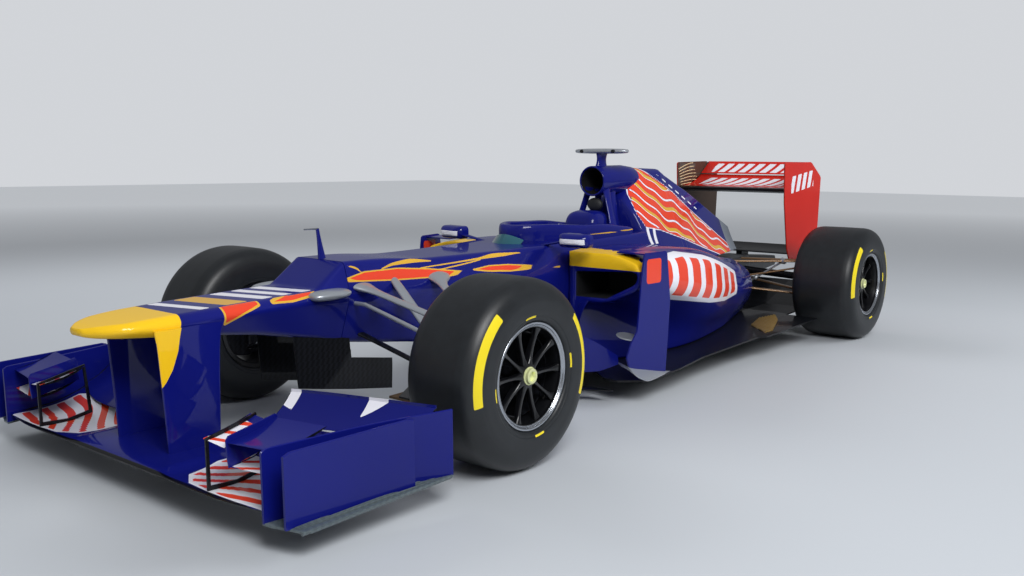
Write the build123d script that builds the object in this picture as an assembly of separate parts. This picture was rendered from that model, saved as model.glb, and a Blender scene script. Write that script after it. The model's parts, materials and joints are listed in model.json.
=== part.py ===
"""Open wheel racing car with a stepped nose, as one assembly of separate pieces.

World frame in millimetres: +X forward, +Y to the car's left, +Z up, floor at z = 0.
Body frame: +X forward from the front axle, +Z up from the reference plane under the tub.
The body stands nose down by the rake, so each body piece is made level and tilted once.
"""
from build123d import *
from math import atan2, cos, degrees, radians, sin
import os

os.makedirs("parts", exist_ok=True)

# Driving dimensions of the whole car
wheelbase = 3260.0
rear_x = -wheelbase
ride_front = 24.5
ride_rear = 93.6
nose_tip_x = 1088.0
nose_tip_top = 531.0
tail_x = rear_x - 575.0
tail_z = 232.0
seat_gap = 0.3

# Wheels and tyres
tyre_radius = 330.0
front_tyre_outer = 900.0
rear_tyre_outer = 895.0
front_tyre_width = 308.0
rear_tyre_width = 375.0
lip_radius = 184.0
lip_inset = 12.0
lip_width = 7.0
barrel_radius = 165.0
barrel_wall = 6.0
hub_radius = 42.0
nut_radius = 27.0
spoke_count = 10
spoke_width = 15.0
spoke_depth = 22.0

# Knuckles and steering
kingpin_y = 672.0
ball_rise = 104.0
ball_radius = 13.0
pillar_radius = 17.0
drum_radius = 146.0
drum_wall = 4.0
steer_arm = 100.0
steer_arm_y = 640.0
steer_arm_rise = 72.0
rod_radius = 8.0
eye_radius = 12.0
rack_clearance = 4.0
rack_x = 118.0
rack_z = 495.0
rack_elbow_y = 212.0
drum_y = 712.0
hub_inner_y = 846.0

# Tub and cockpit
tub_front_x = 150.0
tub_rear_x = -1810.0
tub_straight_x = -1060.0
cockpit_front_x = -1000.0
cockpit_rear_x = -1640.0
cockpit_floor_z = 62.0
cavity_top_z = 612.0
tub_bottom_z = 8.0
steering_wheel_x = -1110.0
steering_wheel_z = 480.0
column_angle = 18.0
column_radius = 18.0
column_length = 190.0

# Floor and plank
plank_thickness = 10.0
floor_thickness = 8.0
step_height = 50.0
floor_half = 700.0
plane_half = 250.0
floor_front_x = -1056.0
floor_rear_x = rear_x + 5.0
tray_front_x = -330.0
diffuser_length = 345.0
diffuser_rise = 165.0

# Front wing
wing_foot_z = 72.0
foot_thickness = 8.0
wing_plate_top = 284.0
plate_thickness = 8.0
pillar_y = 150.0
pillar_thickness = 16.0

# Rear wing
rear_plate_half = 375.0
rear_plate_thickness = 9.0
flap_chord = 132.0
flap_angle = 36.0
flap_trailing_x = rear_x - 324.0
flap_trailing_z = 944.0
drs_pivot_inset = 14.0
side_gap = 5.0

# Mirrors
mirror_y = 362.0
mirror_z = 662.0

# Roll hoop and cover
duct_radius = 77.0
duct_wall = 9.0
duct_front_x = -1640.0
duct_rear_x = -1985.0
duct_z = 880.0
camera_blade_z = 1018.0
hump_half = 105.0
cover_rear_x = rear_x + 110.0

# Drive train and side pods
gearbox_front_x = rear_x + 804.7
gearbox_rear_x = rear_x - 69.0
pod_front_x = -1075.0
pod_tail_x = rear_x + 330.0
pod_top_z = 592.0

rake = degrees(atan2(ride_rear - ride_front, wheelbase))


def world_x(x, z):
    """World X, from the front axle, of a body point."""
    return x * cos(radians(rake)) + z * sin(radians(rake))


front_axle_x = -(world_x(nose_tip_x, nose_tip_top) + world_x(tail_x, tail_z)) / 2
rear_axle_x = front_axle_x - wheelbase
body_place = Location((front_axle_x, 0, ride_front), (0, rake, 0))


def world_point(x, y, z):
    """World point of a body point."""
    place = body_place * Location((x, y, z))
    return place.position


def across(x):
    """Plane square to the car's length, its axes being left and up."""
    return Plane(origin=(x, 0, 0), x_dir=(0, 1, 0), z_dir=(1, 0, 0))


def outline(points, corner=0.0):
    """Face inside a closed outline, with its corners rounded."""
    face = make_face(Polyline(*points, close=True))
    if corner > 0:
        return fillet(face.vertices(), corner)
    return face


def hull_section(x, top, top_z, mid, mid_z, low, low_z, corner):
    """Six-sided body section, the same on both sides."""
    points = [
        (low, low_z), (mid, mid_z), (top, top_z),
        (-top, top_z), (-mid, mid_z), (-low, low_z),
    ]
    return across(x) * outline(points, corner)


def blade(x, y, z, chord, angle, sag, thick):
    """Wing section from its leading edge back, hollow side up, at one station."""
    a = radians(angle)
    plane = Plane(origin=(x, y, z), x_dir=(-cos(a), 0, sin(a)), z_dir=(0, 1, 0))
    nose = thick * 0.35
    upper = ThreePointArc((0, nose), (chord * 0.45, thick / 2 - sag), (chord, 1.2))
    tail = Line((chord, 1.2), (chord, -1.2))
    lower = ThreePointArc((chord, -1.2), (chord * 0.40, -thick / 2 - sag), (0, -nose))
    front = ThreePointArc((0, -nose), (-nose, 0), (0, nose))
    return plane * make_face(upper + tail + lower + front)


def wing(stations):
    """Straight-sided wing through its sections, each a row of blade()."""
    return loft([blade(*row) for row in stations], ruled=True)


def mirrored(shape):
    """The same shape on the other side of the car."""
    return mirror(shape, about=Plane.XZ)


def both(shape):
    """Compound of a left piece and its mirror image."""
    return Compound(children=[*shape.solids(), *mirrored(shape).solids()])


def rod(start, end, radius):
    """Round bar between two points."""
    a, b = Vector(*start), Vector(*end)
    plane = Plane(origin=a, z_dir=(b - a))
    return plane * Cylinder(radius, (b - a).length, align=(Align.CENTER, Align.CENTER, Align.MIN))


def strut(start, end, chord, thick):
    """Flat suspension arm with rounded edges, its chord along the car."""
    a, b = Vector(*start), Vector(*end)
    plane = Plane(origin=a, x_dir=(1, 0, 0), z_dir=(b - a))
    return extrude(plane * SlotOverall(chord, thick), (b - a).length)


def plan(points, z, height):
    """Upright plate or block from its outline in plan."""
    return extrude(Plane.XY.offset(z) * outline(points), height, dir=(0, 0, 1))


def mirror_line(points):
    """The inner points of a left outline, on the right and in turned order."""
    return [(x, -y) for x, y in reversed(points) if y > 0]


def side(points, y, width, corner=0.0):
    """Plate from its side outline, in body X and Z, centred on y."""
    plane = Plane(origin=(0, y, 0), x_dir=(1, 0, 0), z_dir=(0, -1, 0))
    return extrude(plane * outline(points, corner), width / 2, both=True)


def box(x0, x1, y0, y1, z0, z1):
    """Block between two corners."""
    middle = ((x0 + x1) / 2, (y0 + y1) / 2, (z0 + z1) / 2)
    return Pos(*middle) * Box(abs(x1 - x0), abs(y1 - y0), abs(z1 - z0))


# Tub
# Columns: x, half width and height of the top, of the widest line, of the bottom, corner
tub_rows = [
    (tub_front_x, 128, 650, 170, 533, 105, 345, 26),
    (-350, 150, 648, 205, 505, 130, 265, 26),
    (-750, 188, 645, 245, 485, 175, 130, 26),
    (tub_straight_x, 225, 640, 262, 470, 215, tub_bottom_z, 26),
]
# Outlines of the collar on the left, from the front back: x, y
rim_outer = [
    (-948, 0), (-960, 40), (-990, 80), (-1040, 118), (-1110, 152), (-1190, 186),
    (-1290, 206), (-1500, 214), (-1700, 210),
]
rim_inner = [
    (-1004, 0), (-1012, 34), (-1040, 74), (-1090, 110), (-1160, 136), (-1260, 152),
    (-1450, 152), (-1510, 130), (-1540, 80), (-1548, 0),
]


def tub_form():
    """Outer form of the tub, with straight sides behind the cockpit's front."""
    front = loft([hull_section(*row) for row in tub_rows])
    rear = extrude(hull_section(*tub_rows[-1]), tub_rear_x - tub_straight_x)
    return front + rear


def steering_column(radius):
    """Bar along the steering column's line, ahead of the wheel."""
    a = radians(column_angle)
    x, z = steering_wheel_x, steering_wheel_z
    tip = (x + column_length * cos(a), 0, z - column_length * sin(a))
    return rod((x, 0, z), tip, radius)


def make_tub():
    """Tub with its cockpit cut out, open at the top."""
    hollow = [
        (cockpit_front_x, 170, cavity_top_z, 205, 470, 160, 100, 30),
        (tub_straight_x, 183, cavity_top_z, 220, 470, 175, cockpit_floor_z, 30),
        (cockpit_rear_x, 183, cavity_top_z, 220, 470, 175, cockpit_floor_z, 30),
    ]
    legs = [
        (-350, 100, 590, 150, 500, 90, 320, 30),
        (-840, 145, 604, 195, 470, 130, 190, 30),
        hollow[0],
    ]
    cockpit = loft([hull_section(*row) for row in hollow], ruled=True)
    footwell = loft([hull_section(*row) for row in legs], ruled=True)
    opening = plan([*rim_inner, *mirror_line(rim_inner)], cavity_top_z - 40, 140)
    bore_reach = rack_elbow_y + 90
    rack_bore = rod(
        (rack_x, -bore_reach, rack_z), (rack_x, bore_reach, rack_z), rod_radius + rack_clearance
    )
    tub = tub_form() - cockpit - footwell - opening - rack_bore
    dash_x = cockpit_front_x + 54
    dash = box(dash_x, dash_x - 12, -62, 62, 400, cavity_top_z + 5)
    return tub + (dash - steering_column(column_radius + seat_gap))


# Nose
# Columns as for the tub
nose_rows = [
    (nose_tip_x, 20, nose_tip_top, 30, 520, 20, 512, 3),
    (nose_tip_x - 11, 42, 533, 54, 520, 42, 505, 6),
    (nose_tip_x - 42, 76, 538, 92, 520, 76, 500, 8),
    (980, 116, 543, 136, 520, 112, 494, 12),
    (860, 134, 549, 158, 517, 130, 482, 16),
    (560, 140, 555, 166, 528, 122, 440, 18),
    (278, 134, 560, 168, 532, 112, 380, 18),
]


def make_nose(main_plane):
    """Nose cone with the step behind it and its two wing pillars."""
    pillar_side = [
        (675, 510), (936, 510), (925, 380), (901, 140), (899, 104), (707, 112),
    ]
    pillars = both(side(pillar_side, pillar_y, pillar_thickness))
    return nose_solid() + pillars - main_plane


# Front wing
# Columns: y, leading edge x, its height, chord, angle, sag, thickness
main_rows = [
    (0, 1000, 104, 330, 2, 8, 40),
    (250, 1000, 104, 330, 2, 8, 40),
    (330, 1003, 106, 300, 5, 22, 20),
    (560, 1006, 106, 300, 7, 24, 18),
    (900, 960, 106, 330, 7, 24, 16),
]
# Columns: y, trailing edge x, its height, chord, angle, sag, thickness
lower_flap_rows = [
    (330, 688, 205, 105, 34, 8, 9),
    (560, 640, 205, 130, 30, 12, 10),
    (900, 505, 203, 140, 20, 12, 10),
]
upper_flap_rows = [
    (380, 592, 296, 122, 42, 9, 8),
    (560, 535, 298, 128, 40, 11, 9),
    (900, 402, 290, 128, 33, 11, 9),
]
plate_line = [(992, 755), (690, 803), (395, 886)]
outer_line = [(985, 838), (540, 868)]


def make_main_plane(inboard):
    """Main plane from end plate to end plate, flat in its middle."""
    half = wing([(x, y, z, c, a, s, t) for y, x, z, c, a, s, t in main_rows])
    return (half + mirrored(half)) & inboard


def make_flaps(inboard):
    """Two rows of flaps on each side, ending at the end plates."""
    pieces = []
    for rows in (lower_flap_rows, upper_flap_rows):
        stations = []
        for y, x, z, chord, angle, sag, thick in rows:
            a = radians(angle)
            stations.append((x + chord * cos(a), y, z - chord * sin(a), chord, angle, sag, thick))
        half = wing(stations)
        pieces += [*(half & inboard).solids(), *(mirrored(half) & inboard).solids()]
    return Compound(children=pieces)


def plate_band(thickness):
    """Plan of the curved end plate, from its inner face out."""
    inner = ThreePointArc(*plate_line)
    (x0, y0), (x1, y1), (x2, y2) = plate_line
    outer = ThreePointArc((x2, y2 + thickness), (x1, y1 + thickness), (x0, y0 + thickness))
    ends = Line((x2, y2), (x2, y2 + thickness)) + Line((x0, y0 + thickness), (x0, y0))
    return make_face(inner + ends + outer)


def make_inboard():
    """All the space between the two curved end plates."""
    inner = ThreePointArc(*plate_line)
    (x0, y0), _, (x2, y2) = plate_line
    front, rear = x0 + 60, x2 - 60
    edges = Polyline((x2, y2), (rear, y2), (rear, -1), (front, -1), (front, y0), (x0, y0))
    half = extrude(make_face(inner + edges), 400)
    return half + mirrored(half)


def make_end_plates():
    """End plates, outer fences and foot plates of the front wing."""
    plate_z = wing_foot_z + foot_thickness
    height = wing_plate_top - plate_z
    curved = extrude(Plane.XY.offset(plate_z) * plate_band(plate_thickness), height)
    (x0, y0), (x1, y1) = outer_line
    fence = plan([(x0, y0), (x1, y1), (x1, y1 + 8), (x0, y0 + 8)], plate_z, height + 4)
    foot = [
        (992, 755), (975, 829), (965, front_tyre_outer), (400, front_tyre_outer),
        (392, 884), (540, 846), (690, 800),
    ]
    left = curved + fence + plan(foot, wing_foot_z, foot_thickness)
    return both(left)


# Columns: y, leading edge x, its height, chord, angle, sag, thickness
upper_cascade_rows = [(486, 985, 258, 165, 13, 10, 7), (586, 975, 244, 165, 13, 10, 7)]
lower_cascade_rows = [(586, 970, 192, 160, 12, 10, 7), (830, 945, 198, 160, 12, 10, 7)]


def make_cascades(main_plane, inboard):
    """Small upper wings in two steps, on a fence from the main plane and inside the end plate."""
    upper = wing([(x, y, z, c, a, s, t) for y, x, z, c, a, s, t in upper_cascade_rows])
    lower = wing([(x, y, z, c, a, s, t) for y, x, z, c, a, s, t in lower_cascade_rows])
    fence = side([(990, 102), (988, 264), (815, 300), (800, 113), (890, 96)], 503, 6)
    step = side([(977, 184), (980, 279), (806, 312), (800, 222)], 586, 6)
    left = upper + (lower & inboard) + step + fence - main_plane
    return both(left)


# Cockpit surround, roll hoop and engine cover
def make_surround():
    """Raised collar round the cockpit, with a hump behind the driver's head."""
    collar = plan([*rim_outer, (-1700, 0), *mirror_line(rim_outer)], 600, 200)
    collar -= plan([*rim_inner, *mirror_line(rim_inner)], 500, 400)
    profile = [
        (-948, 655), (-962, 682), (-988, 701), (-1080, 702), (-1290, 690), (-1450, 684),
        (-1700, 682), (-1700, 641), (-1060, 641), (-940, 641),
    ]
    hump = [
        (-1484, 641), (-1484, 690), (-1500, 714), (-1530, 727), (-1600, 727), (-1700, 715),
        (-1700, 641),
    ]
    form = side(profile, 0, 600) + side(hump, 0, 2 * hump_half)
    return (collar & form) - Pos(0, 0, seat_gap) * tub_form()


def make_hoop(surround):
    """Round air intake on two raked legs, over a pad behind the driver's head."""
    length = duct_front_x - duct_rear_x
    tube = rod((duct_front_x, 0, duct_z), (duct_rear_x, 0, duct_z), duct_radius)
    bore = rod(
        (duct_front_x + 1, 0, duct_z),
        (duct_front_x - length * 0.8, 0, duct_z),
        duct_radius - duct_wall,
    )
    lip = Pos(duct_front_x, 0, duct_z) * Rot(0, 90, 0) * Torus(duct_radius - 4.5, 4.5)
    legs = both(strut((-1690, 52, 840), (-1668, 116, 700), 46, 22))
    rear_legs = both(strut((-1760, 40, 830), (-1775, 70, 620), 50, 20))
    hoop = tube + legs + rear_legs - bore + (lip - bore)
    return hoop - surround - Pos(0, 0, seat_gap) * tub_form()


# Columns: x, half width and height of the top, of the widest line, of the bottom, corner
cover_length = tub_rear_x - 5 - cover_rear_x
cover_rows = [
    (tub_rear_x - 5, 60, 800, 190, 660, 235, 480, 14),
    (tub_rear_x - 5 - cover_length * 0.13, 42, 932, 175, 640, 235, 470, 14),
    (tub_rear_x - 5 - cover_length * 0.334, 26, 924, 150, 600, 220, 440, 10),
    (tub_rear_x - 5 - cover_length * 0.37, 24, 902, 146, 596, 218, 438, 10),
    (tub_rear_x - 5 - cover_length * 0.588, 18, 790, 105, 540, 190, 405, 7),
    (cover_rear_x, 9, 548, 45, 465, 80, 400, 4),
]


def make_cover(hoop_tube):
    """Engine cover from the tub's rear face to its narrow tail."""
    body = loft([hull_section(*row) for row in cover_rows], ruled=True)
    return body - hoop_tube


# Side pods
# Columns: x, inner y, outer y, top z, shoulder drop, overhang z, under y, under z,
# neck y, neck z, foot y, foot z
pod_length = tub_rear_x + 5 - pod_tail_x
pod_rows = [
    (pod_front_x, 262.3, 655, pod_top_z, 34, 440, 470, 366, 294, 362, 285, 58.3),
    (-1180, 262.3, 662, pod_top_z, 34, 430, 470, 360, 310, 350, 300, 58.3),
    (-1400, 262.3, 660, 590, 36, 385, 530, 325, 412, 250, 400, 58.3),
    (tub_rear_x + 5, 262.3, 625, 556, 42, 300, 560, 230, 500, 150, 470, 58.3),
]
pod_tail_rows = [
    pod_rows[-1],
    (tub_rear_x + 5 - pod_length * 0.48, 236, 500, 460, 45, 220, 455, 170, 420, 110, 400, 58.3),
    (tub_rear_x + 5 - pod_length * 0.58, 236, 474, 440, 50, 205, 430, 160, 395, 105, 370, 58.3),
    (pod_tail_x, 140, 300, 370, 60, 150, 268, 120, 245, 85, 230, 58.3),
]


def pod_section(x, inner, outer, top, drop, overhang, under, under_z, neck, neck_z, foot, foot_z):
    """Side pod section with its undercut, from the foot at the tub round to the top."""
    points = [
        (inner, foot_z), (foot, foot_z), (neck, neck_z), (under, under_z), (outer - 20, overhang),
        (outer, overhang + 60), (outer - 30, top - drop), (outer - 150, top), (inner, top),
    ]
    return across(x) * outline(points)


def make_pod():
    """Left side pod with its air inlet."""
    front = loft([pod_section(*row) for row in pod_rows], ruled=True)
    tail = loft([pod_section(*row) for row in pod_tail_rows], ruled=True)
    inlet = [(300, 384), (300, 500), (600, 518), (628, 505), (622, 474), (600, 456), (465, 388)]
    duct = extrude(across(pod_front_x + 5) * outline(inlet, 8), 280, dir=(-1, 0, 0))
    return front + tail - duct


# Floor
def make_floor():
    """Reference plane, step, side floor and diffuser, all one thin shell."""
    half = [
        (floor_front_x, 0), (floor_front_x, floor_half - 270), (-978, floor_half - 180),
        (-965, floor_half - 100), (-1052, floor_half), (-1330, floor_half), (-1620, floor_half - 32),
        (rear_x + 1030, floor_half - 32), (rear_x + 1000, floor_half), (rear_x + 315, floor_half),
        (rear_x + 315, floor_half - 195), (floor_rear_x, floor_half - 200), (floor_rear_x, 0),
    ]
    left = plan(half, step_height, floor_thickness)
    flat = left + mirrored(left)
    flat -= box(floor_front_x + 1, floor_rear_x - 1, -plane_half, plane_half, 0, 100)
    tray = [
        (tray_front_x, 0), (tray_front_x, 90), (-480, 180), (-900, plane_half),
        (floor_rear_x, plane_half), (floor_rear_x, 0),
    ]
    lower_left = plan(tray, 0, floor_thickness)
    lower = lower_left + mirrored(lower_left)
    wall_top = step_height + floor_thickness
    walls = both(box(floor_front_x, floor_rear_x, plane_half - floor_thickness, plane_half, 0, wall_top))
    return flat + lower + walls + make_diffuser()


def make_diffuser():
    """Rising tail of the floor with its upright fences."""
    start = floor_rear_x
    end = start - diffuser_length
    outer_y = floor_half - 200
    roof = [(start, 0), (end, diffuser_rise), (end, diffuser_rise + 8), (start, 8)]
    wide_roof = [(start, 50), (end, diffuser_rise), (end, diffuser_rise + 8), (start, 58)]
    body = side(roof, 0, 2 * plane_half)
    body += both(side(wide_roof, (plane_half + outer_y) / 2 - 2, outer_y - plane_half + 4))
    fence = [(start, 0), (end, diffuser_rise - 120), (end, diffuser_rise + 4), (start, 8)]
    for y in (140, outer_y - 4):
        body += both(side(fence, y, 8))
    step = [(start, 0), (end, diffuser_rise - 90), (end, diffuser_rise + 4), (start, 58)]
    return body + both(side(step, plane_half - 4, 8))


# Vanes
def make_turning_vanes():
    """Pair of curved vanes under the raised nose."""
    side_shape = [
        (370, 430), (114, 400), (106, 283), (-95, 248), (-93, 128), (352, 212),
    ]
    above = Pos(0, 0, -seat_gap) * (nose_solid() + tub_form())
    left = side(side_shape, 108, 6) - above
    return both(left)


def make_bargeboards():
    """Curved boards ahead of the side pods, standing on the tray."""
    board = [
        (-600, 8.3), (-590, 110), (-680, 270), (-800, 292), (-900, 238), (-956, 165), (-956, 8.3),
    ]
    line = [(-560, 262), (-800, 345), (-956, 585), (-956, 570), (-794, 336), (-560, 254)]
    left = side(board, 400, 500) & plan(line, 0, 400)
    foot = plan(
        [
            (-640, 225), (-640, 292), (-800, 352), (-956, 585), (-956, 480), (-860, 320),
            (-1000, 300), (-1000, 225),
        ],
        8.3, 6,
    )
    return both(left + foot)


def make_pod_vanes():
    """Tall vanes on the floor's edge beside the side pods."""
    inner = floor_half - 40
    line = [
        (-940, inner - 5), (-1063, inner + 8), (-1250, inner + 32), (-1250, inner + 24), (-1063, inner),
        (-940, inner - 13),
    ]
    floor_top = step_height + floor_thickness + seat_gap
    bridge_z = pod_top_z + seat_gap
    outer = [
        (-1012, floor_top), (-956, 165), (-1025, 270), (-1034, 340), (-1063, bridge_z + 7),
        (-1223, bridge_z + 7), (-1250, 382), (-1215, floor_top),
    ]
    board = side(outer, inner, 200) & plan(line, 0, 700)
    bridge = box(-1100, -1218, 500, inner + 12, bridge_z, bridge_z + 7)
    return both(board + bridge)


def make_mirrors():
    """Mirrors on short stalks beside the cockpit."""
    pod = Pos(-975, mirror_y, mirror_z) * Rot(0, 0, 6) * Box(70, 150, 52)
    pod = fillet(pod.edges().group_by(Axis.X)[-1], 14)
    stalk = rod((-975, mirror_y - 60, mirror_z - 12), (-985, 170, 618), 7)
    return both(pod + stalk - tub_form())


def make_camera_pod():
    """Camera blade on a short fin over the air intake."""
    z_low = duct_z + duct_radius
    fin = [
        (-1668, z_low - 6), (-1690, camera_blade_z + 6), (-1760, camera_blade_z + 6), (-1770, z_low - 6),
    ]
    stalk = side(fin, 0, 26) - rod((-1600, 0, duct_z), (-2000, 0, duct_z), duct_radius)
    blade_line = [
        (-1672, 0), (-1674, 60), (-1684, 110), (-1702, 145), (-1726, 162), (-1750, 145), (-1768, 110),
        (-1776, 60), (-1778, 0),
    ]
    top = plan(blade_line, camera_blade_z, 26)
    blade_body = top + mirrored(top)
    return fillet(blade_body.edges().filter_by(GeomType.LINE).group_by(Axis.Z)[-1], 8) + stalk


def make_nose_cameras():
    """Small camera pods beside the nose and the air speed tube on the tub."""
    pod = Pos(250, 205, 545) * Rot(0, 90, 0) * Cylinder(20, 150)
    arm = box(215, 285, 160, 190, 538, 550) - nose_solid()
    tube = rod((137, 0, 650.9), (155, 0, 766), 4) + rod((150, 0, 762), (215, 0, 764), 3)
    pair = both(pod + arm)
    return Compound(children=[*pair.solids(), *tube.solids()])


def nose_solid():
    """Nose form alone, for seating what stands on its side."""
    step_end = (tub_front_x, *tub_rows[0][1:])
    sections = [hull_section(*row) for row in nose_rows]
    tip = loft(sections[:4], ruled=True)
    front = loft(sections[3:])
    return tip + front + loft([sections[-1], hull_section(*step_end)], ruled=True)


# Rear wing
def make_rear_plates():
    """Upright end plates of the rear wing, down to the beam wing."""
    shape = [
        (rear_x + 95, 946), (rear_x - 311, 946), (rear_x - 475, 845), (rear_x - 452, 512),
        (rear_x - 240, 330), (rear_x - 30, 330), (rear_x + 17, 408), (rear_x + 80, 700),
    ]
    y = rear_plate_half - rear_plate_thickness / 2
    return both(side(shape, y, rear_plate_thickness))


def make_rear_main():
    """Main plane of the rear wing."""
    half = rear_plate_half - rear_plate_thickness
    rows = [(rear_x + 90, y, 792, 330, 12, 34, 26) for y in (-half, half)]
    return wing(rows)


def make_flap():
    """Upper flap, which lifts its leading edge about a pivot near its trailing edge."""
    half = rear_plate_half - rear_plate_thickness - side_gap
    a = radians(flap_angle)
    x = flap_trailing_x + flap_chord * cos(a)
    z = flap_trailing_z - flap_chord * sin(a)
    flap = wing([(x, y, z, flap_chord, flap_angle, 8, 10) for y in (-half, half)])
    pivot_x = flap_trailing_x + drs_pivot_inset * cos(a)
    pivot_z = flap_trailing_z - drs_pivot_inset * sin(a)
    reach = rear_plate_half - rear_plate_thickness - seat_gap
    for s in (-1, 1):
        flap += rod((pivot_x, s * (half - 8), pivot_z), (pivot_x, s * reach, pivot_z), 5)
    return flap


def make_beam_wing():
    """Lower beam between the end plates, over the crash structure."""
    half = rear_plate_half - rear_plate_thickness
    rows = [(rear_x - 30, y, 378, 170, 14, 10, 16) for y in (-half, half)]
    return wing(rows)


def under_beam():
    """The beam wing and the space over it, for cutting its post to length."""
    beam = make_beam_wing()
    return beam + box(rear_x - 40, rear_x - 200, -30, 30, 392, 500)


def make_tail():
    """Crash structure behind the gearbox, with the starter bore and the rain light."""
    rows = [
        (gearbox_rear_x - seat_gap, 70, 350, 82, 300, 70, 205, 14),
        (tail_x + 20, 42, 300, 48, 262, 42, tail_z, 10),
    ]
    body = loft([hull_section(*row) for row in rows], ruled=True)
    bore = rod((tail_x - 1, 0, 262), (tail_x + 90, 0, 262), 15)
    light = box(tail_x, tail_x + 20, -34, 34, tail_z, 262 + 32)
    post = box(rear_x - 85, rear_x - 180, -20, 20, 330, 420) - under_beam()
    return body + light + post - bore


def make_gearbox():
    """Gear case from the engine to the crash structure."""
    rows = [
        (gearbox_front_x, 150, 380, 170, 250, 120, 62, 20),
        (gearbox_rear_x, 72, 352, 90, 300, 72, 180, 14),
    ]
    return loft([hull_section(*row) for row in rows], ruled=True)


# Suspension
z_axle = tyre_radius
front_ball_up = (front_axle_x, kingpin_y, z_axle + ball_rise)
front_ball_low = (front_axle_x, kingpin_y, z_axle - ball_rise)


def arm(body_start, end, chord=34, thick=13):
    """Wishbone leg from a pick-up on the body to a world point."""
    start = world_point(*body_start)
    return strut(tuple(start), end, chord, thick)


def make_front_arms():
    """Front wishbones and push rods, both sides."""
    up, low = front_ball_up, front_ball_low
    upper = arm((85, 130, 560), up) + arm((-310, 150, 555), up) + Pos(*up) * Sphere(ball_radius)
    lower = arm((62, 100, 372), low) + arm((-330, 100, 300), low) + Pos(*low) * Sphere(ball_radius)
    push_end = (low[0], low[1] - 70, low[2] + 24)
    push = arm((-81, 110, 602), push_end, 26, 16)
    trim = body_place * (nose_solid() + tub_form())
    left = Compound(children=[*(upper - trim).solids(), *(lower + push - trim).solids()])
    return both(left)


def make_knuckle():
    """Left front knuckle with its hub stub, brake drum and steering arm."""
    x, y, z = front_axle_x, kingpin_y, z_axle
    reach = ball_rise - ball_radius - seat_gap
    post = rod((x, y, z - reach), (x, y, z + reach), pillar_radius)
    stub = rod((x, y, z), (x, drum_y, z), 34)
    drum = rod((x, drum_y, z), (x, drum_y + 120, z), drum_radius)
    drum -= rod((x, drum_y + 8, z), (x, drum_y + 121, z), drum_radius - drum_wall)
    axle = rod((x, drum_y, z), (x, hub_inner_y - seat_gap, z), 20)
    eye = (x + steer_arm, steer_arm_y, z + steer_arm_rise)
    lever_z = eye[2] - eye_radius - 14
    lever = rod((x, y, lever_z), (eye[0], eye[1], lever_z), 10)
    pin = rod((eye[0], eye[1], lever_z), (eye[0], eye[1], eye[2] - eye_radius - seat_gap), 8)
    return post + stub + drum + axle + lever + pin


def make_rack():
    """Steering rack and both track rods in one, passing through the tub."""
    eye = (front_axle_x + steer_arm, steer_arm_y, z_axle + steer_arm_rise)
    inner = world_point(rack_x, 0, rack_z)
    start = (inner.X, 0, inner.Z)
    elbow = (inner.X, rack_elbow_y, inner.Z)
    half = rod(start, elbow, rod_radius) + rod(elbow, eye, rod_radius)
    half += Pos(*elbow) * Sphere(rod_radius) + Pos(*eye) * Sphere(eye_radius)
    return half + mirrored(half)


def make_tyre(outer_y, width):
    """Tyre with flat tread, rounded shoulders and bulged sides."""
    half = width / 2
    bead = half - lip_inset - lip_width - seat_gap
    r0 = barrel_radius + seat_gap
    points = [
        (-bead, r0), (-bead, lip_radius + seat_gap), (-half + 7, lip_radius + 4), (-half, 235),
        (-half + 6, 285), (-half + 26, tyre_radius - 14), (-half + 52, tyre_radius - 2),
        (0, tyre_radius),
    ]
    right = [(-y, r) for y, r in reversed(points[:-1])]
    face = make_face(Plane.YZ * Polyline(*points, *right, close=True))
    tyre = revolve(face, Axis.Y)
    return Pos(0, outer_y - half, 0) * tyre


def make_rim(outer_y, width):
    """Rim with lips, deep barrel, spokes, hub and wheel nut."""
    half = width / 2
    edge = half - lip_inset
    r1 = barrel_radius
    r0 = r1 - barrel_wall
    points = [
        (-edge, r0), (-edge, lip_radius), (-edge + lip_width, lip_radius), (-edge + lip_width, r1),
        (edge - lip_width, r1), (edge - lip_width, lip_radius), (edge, lip_radius), (edge, r0 + 6),
        (edge - 30, r0),
    ]
    barrel = revolve(make_face(Plane.YZ * Polyline(*points, close=True)), Axis.Y)
    face_y = hub_inner_y - (front_tyre_outer - front_tyre_width / 2) if width < 340 else 108.0
    hub = rod((0, face_y, 0), (0, face_y + 26, 0), hub_radius)
    nut = rod((0, face_y + 26, 0), (0, face_y + 42, 0), nut_radius)
    rim = barrel + hub + nut
    reach = r0 + barrel_wall / 2
    for turn in range(spoke_count):
        spoke = box(-spoke_width / 2, spoke_width / 2, face_y, face_y + spoke_depth, hub_radius - 6, reach)
        rim += Rot(0, 360.0 / spoke_count * turn, 0) * spoke
    return Pos(0, outer_y - half, 0) * rim


def make_rear_upright():
    """Left rear upright with its drum and stub, on the suspension."""
    x, z = rear_axle_x, z_axle
    post = box(x - 24, x + 24, 628, 652, z - 130, z + 130)
    stub = rod((x, 652, z), (x, 700, z), 40)
    drum = rod((x, 668, z), (x, 800, z), drum_radius)
    drum -= rod((x, 676, z), (x, 801, z), drum_radius - drum_wall)
    axle = rod((x, 676, z), (x, 815.2 - seat_gap, z), 22)
    return post + stub + drum + axle


rear_block = box(rear_axle_x - 24.3, rear_axle_x + 24.3, 627.7, 700, z_axle - 131, z_axle + 131)


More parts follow.
